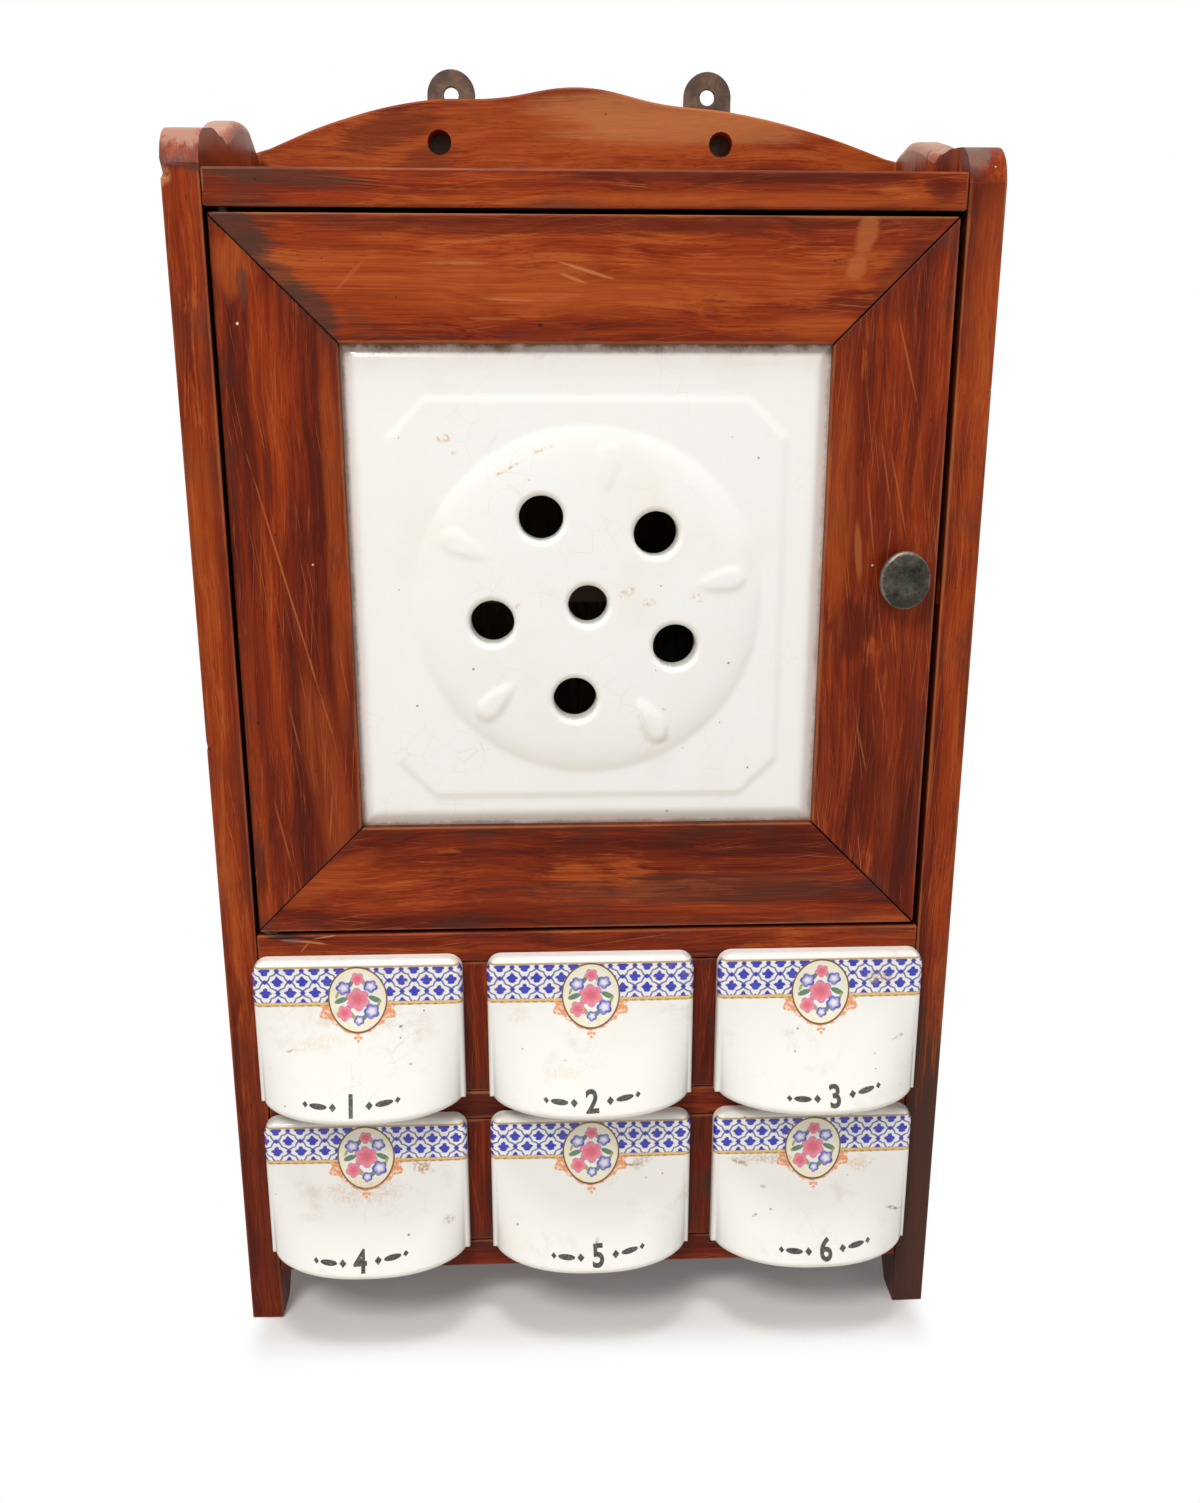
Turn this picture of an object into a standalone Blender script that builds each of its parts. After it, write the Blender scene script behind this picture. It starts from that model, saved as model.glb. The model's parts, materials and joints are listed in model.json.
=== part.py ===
"""Wall spice cabinet: a ventilated cupboard over six ceramic scoop drawers.

Metres, +Z up, +Y away from the viewer, +X to the right. The origin lies on the
floor, under the middle of the whole cabinet's box.
"""

import math

import bmesh
import bpy
from mathutils import Matrix, Vector

MM = 0.001

# Carcass
CABINET_WIDTH = 300.0 * MM
SIDE_DEPTH = 120.0 * MM
SIDE_THICKNESS = 13.5 * MM
BOARD_THICKNESS = 13.0 * MM
BACK_THICKNESS = 5.0 * MM
BACK_INSET = 1.0 * MM
FOOT_HEIGHT = 24.0 * MM
FOOT_LENGTH = 14.0 * MM
ARCH_RISE = 16.0 * MM
ARCH_SHOULDER = 14.0 * MM
ARCH_SHOULDER_DROP = 3.2 * MM
CUPBOARD_HEIGHT = 277.0 * MM
ARRIS = 0.7 * MM
JOINT_GAP = 0.3 * MM

# Ears: the two lobes on top of each side, measured from the top board; the right one is worn lower
EAR_NOSE_SETBACK = 5.0 * MM
EAR_NOSE_RISE = 10.5 * MM
EAR_FRONT_SETBACK = 19.0 * MM
EAR_FRONT_RISE = 15.5 * MM
EAR_DIP_SETBACK = 41.0 * MM
EAR_DIP_RISE = 16.3 * MM
EAR_BACK_SETBACK = 30.0 * MM
EAR_BACK_RISE = 28.5 * MM
EAR_END_RISE_LEFT = 13.0 * MM
EAR_END_RISE_RIGHT = 24.0 * MM
EAR_WEAR_RIGHT = 4.5 * MM

# Crest board between the ears, sawn lower at the right, with two iron hanging lugs behind it
CREST_THICKNESS = 12.0 * MM
CREST_PEAK_RISE = 47.7 * MM
CREST_WAIST_REACH = 36.0 * MM
CREST_WAIST_RISE = 43.2 * MM
CREST_SHOULDER_REACH = 66.0 * MM
CREST_SHOULDER_RISE = 42.0 * MM
CREST_FLANK_REACH = 102.0 * MM
CREST_FLANK_RISE = 34.0 * MM
CREST_END_RISE = 21.0 * MM
CREST_FALL_RIGHT = 3.8 * MM
CREST_HOLE_DIAMETER = 10.2 * MM
CREST_HOLE_OFFSET = 60.0 * MM
CREST_HOLE_RISE = 25.7 * MM
LUG_WIDTH = 20.5 * MM
LUG_THICKNESS = 2.0 * MM
LUG_OFFSET = 55.2 * MM
LUG_LENGTH = 51.5 * MM
LUG_TOP_RISE = 56.6 * MM
LUG_HOLE_DIAMETER = 6.4 * MM
LUG_SCREW_RISE = 13.0 * MM
LUG_SCREW_EDGE = 4.5 * MM
SCREW_HEAD_DIAMETER = 6.0 * MM
SCREW_HEAD_HEIGHT = 1.6 * MM
SCREW_SHANK_DIAMETER = 2.6 * MM
SCREW_LENGTH = 8.0 * MM

# Shelf inside the cupboard
SHELF_THICKNESS = 10.0 * MM
SHELF_SETBACK = 24.0 * MM
SHELF_HEIGHT = 132.0 * MM
CLEAT_SIZE = 10.0 * MM

# Door: a mitred frame round a ceramic vent tile
FRAME_WIDTH = 44.0 * MM
DOOR_GAP_LEFT = 1.2 * MM
DOOR_GAP_RIGHT = 2.5 * MM
DOOR_GAP_TOP = 2.0 * MM
DOOR_GAP_BOTTOM = 1.6 * MM
LIP_THICKNESS = 4.5 * MM
REBATE_WIDTH = 5.0 * MM
TILE_THICKNESS = 6.0 * MM
TILE_CLEARANCE = 0.5 * MM
TILE_BEAD_THICKNESS = 4.9 * MM
TILE_RELIEF_DROP = 3.5 * MM
TILE_PANEL_MARGIN = 15.8 * MM
TILE_PANEL_NOTCH = 14.5 * MM
TILE_PANEL_RISE = 0.8 * MM
TILE_BOSS_MARGIN = 23.6 * MM
TILE_BOSS_RISE = 4.0 * MM
VENT_COUNT = 5
VENT_DIAMETER = 17.0 * MM
VENT_CIRCLE_DIAMETER = 75.0 * MM
VENT_CENTRE_DIAMETER = 15.2 * MM
VENT_FIRST_ANGLE = 28.2

# Door pivots: two pins in the carcass, with a washer under the door
PIVOT_INSET = 5.0 * MM
PIVOT_DIAMETER = 4.0 * MM
PIVOT_DEPTH = 8.0 * MM
PIVOT_EDGE_RADIUS = 3.0 * MM
WASHER_DIAMETER = 9.0 * MM
RUNNING_GAP = 0.3 * MM

# Knob and latch
KNOB_WIDTH = 19.5 * MM
KNOB_HEIGHT = 22.5 * MM
KNOB_THICKNESS = 4.0 * MM
KNOB_DOME = 1.2 * MM
KNOB_STANDOFF = 6.0 * MM
KNOB_NECK_DIAMETER = 9.0 * MM
KNOB_INSET = 14.3 * MM
KNOB_ABOVE_MIDDLE = 6.5 * MM
SPINDLE_DIAMETER = 5.0 * MM
SPINDLE_GRIP = 3.5 * MM
CRANK_RADIUS = 5.6 * MM
CRANK_HALF_SWING = 30.0
CRANK_PIN_DIAMETER = 2.4 * MM
CRANK_DISC_THICKNESS = 2.0 * MM
CRANK_RIM = 1.0 * MM
BOLT_HEIGHT = 10.0 * MM
BOLT_THICKNESS = 2.8 * MM
BOLT_SETBACK = 4.0 * MM
BOLT_PROUD = 1.0 * MM
BOLT_TAIL = 3.0 * MM
STRIKE_DEPTH = 7.0 * MM
COVER_THICKNESS = 1.5 * MM
COVER_BORDER = 9.0 * MM
COVER_EDGE = 1.0 * MM

# Ceramic drawers, three to a row, each with an overlay front and a finger lip
DRAWER_ROW_NAMES = ("lower", "upper")
DRAWER_COLUMNS = 3
DRAWER_BAY_HEIGHT = 60.0 * MM
DIVIDER_THICKNESS = 13.0 * MM
DRAWER_BACK_GAP = 14.0 * MM
DRAWER_WALL = 4.5 * MM
DRAWER_SIDE_GAP = 0.9 * MM
DRAWER_TOP_GAP = 2.5 * MM
DRAWER_CORNER_RADIUS = 6.0 * MM
FRONT_THICKNESS = 6.5 * MM
FRONT_OVERLAP_SIDE = 1.5 * MM
FRONT_OVERLAP_TOP = 4.0 * MM
FRONT_CORNER_RADIUS = 6.0 * MM
FRONT_RIM_RADIUS = 3.0 * MM
LIP_REACH = 20.0 * MM
LIP_MARGIN = 2.0 * MM
LIP_START = 16.0 * MM
LIP_WALL = 5.0 * MM
LIP_SQUARENESS = 2.4
LIP_ROUNDNESS = 0.7
LIP_FLARE = 1.5
POCKET_HEIGHT = 12.0 * MM
POCKET_MARGIN = 12.0 * MM

# Fineness of the facets
CURVE_STEPS = 8
ROUND_STEPS = 24
SMALL_ROUND_STEPS = 16
CORNER_STEPS = 3
POCKET_RINGS = 12
LIP_COLUMNS = 12
LIP_ROWS = 9
SHARP_ANGLE = math.radians(35.0)
FLAT_ANGLE = math.radians(0.05)
MERGE_DISTANCE = 0.01 * MM

# Planes and levels that follow from the sizes above
INNER_HALF = CABINET_WIDTH / 2 - SIDE_THICKNESS
FRONT = (FRONT_THICKNESS + JOINT_GAP + LIP_REACH - SIDE_DEPTH - JOINT_GAP - BACK_THICKNESS) / 2
CARCASS_BACK = FRONT + SIDE_DEPTH
DRAWER_ROWS = len(DRAWER_ROW_NAMES)
DRAWER_DEPTH = SIDE_DEPTH - DRAWER_BACK_GAP
ROW_PITCH = DRAWER_BAY_HEIGHT + BOARD_THICKNESS
CUPBOARD_FLOOR = FOOT_HEIGHT + BOARD_THICKNESS + DRAWER_ROWS * ROW_PITCH
CUPBOARD_TOP = CUPBOARD_FLOOR + CUPBOARD_HEIGHT
CABINET_TOP = CUPBOARD_TOP + BOARD_THICKNESS
BAY_WIDTH = (2 * INNER_HALF - (DRAWER_COLUMNS - 1) * DIVIDER_THICKNESS) / DRAWER_COLUMNS
BAY_PITCH = BAY_WIDTH + DIVIDER_THICKNESS

DOOR_THICKNESS = LIP_THICKNESS + TILE_THICKNESS + TILE_BEAD_THICKNESS + 2 * JOINT_GAP
DOOR_LEFT = -INNER_HALF + DOOR_GAP_LEFT
DOOR_RIGHT = INNER_HALF - DOOR_GAP_RIGHT
DOOR_LOW = CUPBOARD_FLOOR + DOOR_GAP_BOTTOM
DOOR_HIGH = CUPBOARD_TOP - DOOR_GAP_TOP
DOOR_BACK = FRONT + DOOR_THICKNESS
DOOR_MIDDLE = Vector(((DOOR_LEFT + DOOR_RIGHT) / 2, FRONT, (DOOR_LOW + DOOR_HIGH) / 2))
OPENING_HALF_WIDTH = (DOOR_RIGHT - DOOR_LEFT) / 2 - FRAME_WIDTH
OPENING_HALF_HEIGHT = (DOOR_HIGH - DOOR_LOW) / 2 - FRAME_WIDTH
TILE_HALF_WIDTH = OPENING_HALF_WIDTH + REBATE_WIDTH - TILE_CLEARANCE
TILE_HALF_HEIGHT = OPENING_HALF_HEIGHT + REBATE_WIDTH - TILE_CLEARANCE
TILE_FRONT = FRONT + LIP_THICKNESS + JOINT_GAP
TILE_BACK = TILE_FRONT + TILE_THICKNESS
PIVOT = Vector((DOOR_LEFT + PIVOT_INSET, FRONT + PIVOT_INSET, DOOR_LOW))

KNOB = Vector((DOOR_RIGHT - KNOB_INSET, FRONT, DOOR_MIDDLE.z + KNOB_ABOVE_MIDDLE))
CRANK_THROW = 2 * CRANK_RADIUS * math.sin(math.radians(CRANK_HALF_SWING))
CRANK_PIN = Vector((-CRANK_THROW / 2, 0.0, -CRANK_RADIUS * math.cos(math.radians(CRANK_HALF_SWING))))
CRANK_DISC_RADIUS = CRANK_RADIUS + CRANK_PIN_DIAMETER / 2 + CRANK_RIM
CRANK_DISC_FRONT = FRONT + BOLT_SETBACK + BOLT_THICKNESS + RUNNING_GAP
BOLT_MIDDLE = KNOB.z - CRANK_RADIUS
BOLT_TAIL_TOP = KNOB.z - SPINDLE_DIAMETER / 2 - RUNNING_GAP
BOLT_TAIL_REACH = CRANK_THROW / 2 + CRANK_PIN_DIAMETER / 2 + RUNNING_GAP + BOLT_TAIL
POCKET_HALF_WIDTH = max(CRANK_DISC_RADIUS, BOLT_TAIL_REACH) + RUNNING_GAP
POCKET_TOP = KNOB.z + CRANK_DISC_RADIUS + RUNNING_GAP
POCKET_LOW = BOLT_MIDDLE - BOLT_HEIGHT / 2 - RUNNING_GAP

for stale in list(bpy.data.objects):
    bpy.data.objects.remove(stale, do_unlink=True)

parts = bpy.data.collections.new("spice_cabinet")
cutters = bpy.data.collections.new("cutters")
bpy.context.scene.collection.children.link(parts)
bpy.context.scene.collection.children.link(cutters)


def make_material(name, colour, roughness, metallic=0.0):
    material = bpy.data.materials.new(name)
    material.use_nodes = True
    material.diffuse_color = (*colour, 1.0)
    shader = material.node_tree.nodes["Principled BSDF"]
    shader.inputs["Base Color"].default_value = (*colour, 1.0)
    shader.inputs["Roughness"].default_value = roughness
    shader.inputs["Metallic"].default_value = metallic
    return material


STAINED_WOOD = make_material("stained_wood", (0.22, 0.055, 0.02), 0.38)
INNER_WOOD = make_material("inner_wood", (0.36, 0.20, 0.10), 0.65)
TILE_GLAZE = make_material("tile_glaze", (0.86, 0.85, 0.80), 0.10)
DRAWER_GLAZE = make_material("drawer_glaze", (0.88, 0.86, 0.79), 0.12)
DARK_IRON = make_material("dark_iron", (0.10, 0.085, 0.07), 0.50, 0.9)
WORN_BRASS = make_material("worn_brass", (0.24, 0.22, 0.16), 0.42, 0.9)


def world_location(item):
    place = Vector(item.location)
    while item.parent:
        item = item.parent
        place += item.location
    return place


def add_pivot(name, location, parent=None):
    """Empty on a joint's axis, which carries the pieces that move about it."""
    pivot = bpy.data.objects.new(name, None)
    parts.objects.link(pivot)
    pivot.location = location
    if parent:
        pivot.parent = parent
        pivot.location = location - world_location(parent)
    return pivot


def add_piece(name, mesh, location, material, parent=None):
    piece = bpy.data.objects.new(name, mesh)
    parts.objects.link(piece)
    piece.location = location
    if parent:
        piece.parent = parent
        piece.location = location - world_location(parent)
    if not mesh.materials:
        mesh.materials.append(material)
    return piece


def add_cutter(name, mesh, location):
    cutter = bpy.data.objects.new(name, mesh)
    cutters.objects.link(cutter)
    cutter.location = location
    cutter.hide_render = True
    cutter.display_type = "WIRE"
    return cutter


def combine(piece, other, operation="DIFFERENCE"):
    modifier = piece.modifiers.new(other.name, "BOOLEAN")
    modifier.operation = operation
    modifier.solver = "EXACT"
    modifier.object = other


def evaluated_mesh(name, item):
    """Mesh of an object with its modifiers applied; the object is removed."""
    depsgraph = bpy.context.evaluated_depsgraph_get()
    mesh = bpy.data.meshes.new_from_object(item.evaluated_get(depsgraph))
    mesh.name = name
    bpy.data.objects.remove(item, do_unlink=True)
    return mesh


def mesh_from(name, bm):
    mesh = bpy.data.meshes.new(name)
    bm.to_mesh(mesh)
    bm.free()
    return mesh


def smooth(mesh):
    mesh.shade_smooth()
    mesh.set_sharp_from_angle(angle=SHARP_ANGLE)


def box_mesh(name, size):
    bm = bmesh.new()
    bmesh.ops.create_cube(bm, size=1.0, matrix=Matrix.Diagonal((*size, 1.0)))
    return mesh_from(name, bm)


def board(name, low, high, material, parent=None):
    """Straight board between two corners, with its arrises eased."""
    low = Vector(low)
    high = Vector(high)
    piece = add_piece(name, box_mesh(name, high - low), (low + high) / 2, material, parent)
    bevel = piece.modifiers.new("arris", "BEVEL")
    bevel.width = ARRIS
    bevel.segments = 1
    bevel.limit_method = "ANGLE"
    return piece


def box_cutter(name, low, high):
    low = Vector(low)
    high = Vector(high)
    return add_cutter(name, box_mesh(name, high - low), (low + high) / 2)


def rod_mesh(name, radius, length, axis="Z", steps=SMALL_ROUND_STEPS):
    """Round rod that runs from the origin along an axis."""
    turn = {"X": Matrix.Rotation(math.pi / 2, 4, "Y"), "Y": Matrix.Rotation(-math.pi / 2, 4, "X")}
    place = turn.get(axis, Matrix.Identity(4)) @ Matrix.Translation((0.0, 0.0, length / 2))
    bm = bmesh.new()
    bmesh.ops.create_cone(
        bm, cap_ends=True, segments=steps, radius1=radius, radius2=radius, depth=length, matrix=place
    )
    mesh = mesh_from(name, bm)
    smooth(mesh)
    return mesh


def turned_mesh(name, profile, steps=ROUND_STEPS):
    """Profile of (radius, height) points, top to bottom, turned about Z."""
    bm = bmesh.new()
    points = [bm.verts.new((radius, 0.0, height)) for radius, height in profile]
    for first, second in zip(points, points[1:]):
        bm.edges.new((first, second))
    guide = bpy.data.objects.new(name, mesh_from(name, bm))
    cutters.objects.link(guide)
    screw = guide.modifiers.new("turn", "SCREW")
    screw.steps = steps
    screw.render_steps = steps
    screw.use_merge_vertices = True
    screw.merge_threshold = MERGE_DISTANCE
    mesh = evaluated_mesh(name, guide)
    smooth(mesh)
    return mesh


def corner(u, v):
    return (u, v, "VECTOR")


def round_point(u, v):
    return (u, v, "AUTO")


def circle(u, v, radius, steps=SMALL_ROUND_STEPS):
    turns = [2 * math.pi * step / steps for step in range(steps)]
    return [corner(u + radius * math.cos(turn), v + radius * math.sin(turn)) for turn in turns]


def rectangle(half_u, half_v):
    return [corner(su * half_u, sv * half_v) for su, sv in ((-1, -1), (1, -1), (1, 1), (-1, 1))]


def outline_mesh(name, thickness, outline, *holes):
    """Flat piece in the XY plane, cut out along an outline, centred on its thickness."""
    curve = bpy.data.curves.new(name, "CURVE")
    curve.dimensions = "2D"
    curve.fill_mode = "BOTH"
    curve.extrude = thickness / 2
    curve.resolution_u = CURVE_STEPS
    for loop in (outline, *holes):
        straight = all(kind == "VECTOR" for _, _, kind in loop)
        spline = curve.splines.new("POLY" if straight else "BEZIER")
        knots = spline.points if straight else spline.bezier_points
        knots.add(len(loop) - 1)
        for knot, (u, v, kind) in zip(knots, loop):
            if straight:
                knot.co = (u, v, 0.0, 1.0)
            else:
                knot.co = (u, v, 0.0)
                knot.handle_left_type = kind
                knot.handle_right_type = kind
        spline.use_cyclic_u = True
    guide = bpy.data.objects.new(name, curve)
    cutters.objects.link(guide)
    mesh = evaluated_mesh(name, guide)
    bpy.data.curves.remove(curve)
    bm = bmesh.new()
    bm.from_mesh(mesh)
    bmesh.ops.remove_doubles(bm, verts=bm.verts, dist=MERGE_DISTANCE)
    bmesh.ops.dissolve_limit(bm, angle_limit=FLAT_ANGLE, verts=bm.verts, edges=bm.edges)
    bm.to_mesh(mesh)
    bm.free()
    return mesh


# Planes for outlines: u and v become these world directions, thickness the third
UPRIGHT_SIDE = Matrix(((0, 0, 1, 0), (1, 0, 0, 0), (0, 1, 0, 0), (0, 0, 0, 1)))
UPRIGHT_FRONT = Matrix(((1, 0, 0, 0), (0, 0, -1, 0), (0, 1, 0, 0), (0, 0, 0, 1)))


def upright(mesh, plane):
    mesh.transform(plane)
    return mesh


def side_outline(wear, end_rise):
    """Side seen from the right: u runs back from the front edge, v up from the floor."""
    arch_end = SIDE_DEPTH - FOOT_LENGTH
    ear = CABINET_TOP - wear
    return [
        corner(0.0, 0.0),
        corner(FOOT_LENGTH, 0.0),
        round_point(FOOT_LENGTH + ARCH_SHOULDER, ARCH_RISE - ARCH_SHOULDER_DROP),
        round_point(SIDE_DEPTH / 2, ARCH_RISE),
        round_point(arch_end - ARCH_SHOULDER, ARCH_RISE - ARCH_SHOULDER_DROP),
        corner(arch_end, 0.0),
        corner(SIDE_DEPTH, 0.0),
        corner(SIDE_DEPTH, ear + end_rise),
        round_point(SIDE_DEPTH - EAR_BACK_SETBACK, ear + EAR_BACK_RISE),
        round_point(EAR_DIP_SETBACK, ear + EAR_DIP_RISE),
        round_point(EAR_FRONT_SETBACK, ear + EAR_FRONT_RISE),
        round_point(EAR_NOSE_SETBACK, ear + EAR_NOSE_RISE),
        corner(0.0, ear),
    ]


def make_sides():
    sides = {}
    ears = (("side_left", -1, 0.0, EAR_END_RISE_LEFT), ("side_right", 1, EAR_WEAR_RIGHT, EAR_END_RISE_RIGHT))
    for name, sign, wear, end_rise in ears:
        mesh = upright(outline_mesh(name, SIDE_THICKNESS, side_outline(wear, end_rise)), UPRIGHT_SIDE)
        middle = sign * (CABINET_WIDTH - SIDE_THICKNESS) / 2
        sides[name] = add_piece(name, mesh, Vector((middle, FRONT, 0.0)), STAINED_WOOD)
    return sides


def make_level_boards():
    """Boards that run from side to side, from the bottom one up to the top one."""
    reach = INNER_HALF - JOINT_GAP
    first = FOOT_HEIGHT
    levels = {
        "bottom_board": first,
        "drawer_shelf": first + ROW_PITCH,
        "cupboard_floor": first + DRAWER_ROWS * ROW_PITCH,
        "top_board": CUPBOARD_TOP,
    }
    boards = {}
    for name, low in levels.items():
        boards[name] = board(
            name, (-reach, FRONT, low), (reach, CARCASS_BACK, low + BOARD_THICKNESS), STAINED_WOOD
        )
    return boards


def make_dividers():
    for row, row_name in enumerate(DRAWER_ROW_NAMES):
        low = FOOT_HEIGHT + BOARD_THICKNESS + row * ROW_PITCH + JOINT_GAP
        high = low + DRAWER_BAY_HEIGHT - 2 * JOINT_GAP
        for index in range(1, DRAWER_COLUMNS):
            middle = (index - DRAWER_COLUMNS / 2) * BAY_PITCH
            board(
                f"divider_{row_name}_{index}",
                (middle - DIVIDER_THICKNESS / 2, FRONT, low),
                (middle + DIVIDER_THICKNESS / 2, CARCASS_BACK, high),
                STAINED_WOOD,
            )


def make_back_and_shelf():
    half = CABINET_WIDTH / 2 - BACK_INSET
    back_front = CARCASS_BACK + JOINT_GAP
    board(
        "back_panel",
        (-half, back_front, FOOT_HEIGHT),
        (half, back_front + BACK_THICKNESS, CABINET_TOP),
        INNER_WOOD,
    )
    shelf_low = CUPBOARD_FLOOR + SHELF_HEIGHT
    shelf_front = FRONT + SHELF_SETBACK
    reach = INNER_HALF - JOINT_GAP
    board(
        "inner_shelf",
        (-reach, shelf_front, shelf_low),
        (reach, CARCASS_BACK, shelf_low + SHELF_THICKNESS),
        INNER_WOOD,
    )
    cleat_high = shelf_low - JOINT_GAP
    for sign, side in ((-1, "left"), (1, "right")):
        xs = sorted((sign * reach, sign * (reach - CLEAT_SIZE)))
        board(
            f"shelf_cleat_{side}",
            (xs[0], shelf_front, cleat_high - CLEAT_SIZE),
            (xs[1], CARCASS_BACK, cleat_high),
            INNER_WOOD,
        )


def crest_outline():
    """Top edge from the right end over the peak to the left end, then the foot."""
    reach = INNER_HALF - JOINT_GAP
    left = [
        round_point(-CREST_WAIST_REACH, CREST_WAIST_RISE),
        round_point(-CREST_SHOULDER_REACH, CREST_SHOULDER_RISE),
        round_point(-CREST_FLANK_REACH, CREST_FLANK_RISE),
        corner(-reach, CREST_END_RISE),
    ]
    falls = (CREST_FALL_RIGHT / 2, CREST_FALL_RIGHT, CREST_FALL_RIGHT, CREST_FALL_RIGHT / 2)
    right = [(-u, v - fall, kind) for (u, v, kind), fall in zip(left, falls)]
    foot = [corner(-reach, JOINT_GAP), corner(reach, JOINT_GAP)]
    return right[::-1] + [round_point(0.0, CREST_PEAK_RISE)] + left + foot


def make_crest():
    hole_radius = CREST_HOLE_DIAMETER / 2
    holes = [circle(sign * CREST_HOLE_OFFSET, CREST_HOLE_RISE, hole_radius) for sign in (-1, 1)]
    mesh = upright(outline_mesh("crest_board", CREST_THICKNESS, crest_outline(), *holes), UPRIGHT_FRONT)
    place = Vector((0.0, CARCASS_BACK - CREST_THICKNESS / 2, CABINET_TOP))
    return add_piece("crest_board", mesh, place, STAINED_WOOD)


def screw_mesh(name):
    """Round-headed screw: the head's seat at the origin, the shank along -Z."""
    head = SCREW_HEAD_DIAMETER / 2
    shank = SCREW_SHANK_DIAMETER / 2
    profile = [
        (0.0, SCREW_HEAD_HEIGHT),
        (head * 0.6, SCREW_HEAD_HEIGHT * 0.8),
        (head, SCREW_HEAD_HEIGHT * 0.2),
        (head, 0.0),
        (shank, 0.0),
        (shank, -SCREW_LENGTH * 0.7),
        (0.0, -SCREW_LENGTH),
    ]
    mesh = turned_mesh(name, profile, SMALL_ROUND_STEPS)
    mesh.transform(Matrix.Rotation(-math.pi / 2, 4, "X"))
    return mesh


def screw_cutter(name, location):
    """Pilot hole, bored forward from the face that the screw goes into."""
    length = SCREW_LENGTH + JOINT_GAP
    mesh = rod_mesh(name, SCREW_SHANK_DIAMETER / 2 + JOINT_GAP, length, "Y")
    return add_cutter(name, mesh, location - Vector((0.0, length - JOINT_GAP, 0.0)))


def lug_outline():
    """Strap with a round head; u = 0 is its middle and v = 0 its lower end."""
    half = LUG_WIDTH / 2
    centre = LUG_LENGTH - half
    turns = [math.pi * step / ROUND_STEPS for step in range(ROUND_STEPS + 1)]
    head = [corner(half * math.cos(turn), centre + half * math.sin(turn)) for turn in turns]
    return head + [corner(-half, 0.0), corner(half, 0.0)]


def make_lugs(crest):
    low = CABINET_TOP + LUG_TOP_RISE - LUG_LENGTH
    plate_front = CARCASS_BACK + JOINT_GAP
    plate_back = plate_front + LUG_THICKNESS
    screw_hole = SCREW_SHANK_DIAMETER / 2 + JOINT_GAP
    crest_edge = min(CREST_WAIST_RISE, CREST_SHOULDER_RISE) - CREST_FALL_RIGHT
    heights = {
        "low": CABINET_TOP + LUG_SCREW_RISE - low,
        "high": CABINET_TOP + crest_edge - LUG_SCREW_EDGE - low,
    }
    for sign, side in ((-1, "left"), (1, "right")):
        middle = sign * LUG_OFFSET
        holes = [circle(0.0, LUG_LENGTH - LUG_WIDTH / 2, LUG_HOLE_DIAMETER / 2)]
        holes += [circle(0.0, height, screw_hole) for height in heights.values()]
        name = f"hanging_lug_{side}"
        mesh = upright(outline_mesh(name, LUG_THICKNESS, lug_outline(), *holes), UPRIGHT_FRONT)
        add_piece(name, mesh, Vector((middle, (plate_front + plate_back) / 2, low)), DARK_IRON)
        for level, height in heights.items():
            place = Vector((middle, plate_back + JOINT_GAP, low + height))
            screw = f"lug_screw_{side}_{level}"
            add_piece(screw, screw_mesh(screw), place, DARK_IRON)
            combine(crest, screw_cutter(f"{screw}_hole", place))


def mitred_bar(name, corners, middle, parent):
    mesh = upright(outline_mesh(name, DOOR_THICKNESS, [corner(u, v) for u, v in corners]), UPRIGHT_FRONT)
    place = Vector((middle.x, FRONT + DOOR_THICKNESS / 2, middle.z))
    return add_piece(name, mesh, place, STAINED_WOOD, parent)


def make_door_frame(door):
    """Four bars mitred at 45 degrees, all rebated behind for the tile."""
    half_width = (DOOR_RIGHT - DOOR_LEFT) / 2
    half_height = (DOOR_HIGH - DOOR_LOW) / 2
    inner_width = half_width - FRAME_WIDTH
    inner_height = half_height - FRAME_WIDTH
    slack = JOINT_GAP / math.sqrt(2)
    bars = {}
    for name, sign in (("door_rail_top", 1), ("door_rail_bottom", -1)):
        corners = [
            (-half_width + slack, sign * half_height),
            (half_width - slack, sign * half_height),
            (inner_width - slack, sign * inner_height),
            (-inner_width + slack, sign * inner_height),
        ]
        bars[name] = mitred_bar(name, corners, DOOR_MIDDLE, door)
    for name, sign in (("door_stile_left", -1), ("door_stile_right", 1)):
        corners = [
            (sign * half_width, -half_height + slack),
            (sign * half_width, half_height - slack),
            (sign * inner_width, inner_height - slack),
            (sign * inner_width, -inner_height + slack),
        ]
        bars[name] = mitred_bar(name, corners, DOOR_MIDDLE, door)
    seat = Vector((OPENING_HALF_WIDTH + REBATE_WIDTH, 0.0, OPENING_HALF_HEIGHT + REBATE_WIDTH))
    rebate = box_cutter(
        "tile_rebate",
        DOOR_MIDDLE - seat + Vector((0.0, LIP_THICKNESS, 0.0)),
        DOOR_MIDDLE + seat + Vector((0.0, DOOR_THICKNESS + ARRIS, 0.0)),
    )
    for bar in bars.values():
        combine(bar, rebate)
    return bars


def panel_outline():
    """Tile panel whose corners are notched on the slant."""
    half_u = OPENING_HALF_WIDTH - TILE_PANEL_MARGIN
    half_v = OPENING_HALF_HEIGHT - TILE_PANEL_MARGIN
    notch = TILE_PANEL_NOTCH
    quarter = [(half_u, half_v - notch), (half_u - notch, half_v)]
    points = quarter + [(-u, v) for u, v in reversed(quarter)]
    points += [(-u, -v) for u, v in quarter]
    points += [(u, -v) for u, v in reversed(quarter)]
    return [corner(u, v) for u, v in points]


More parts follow.
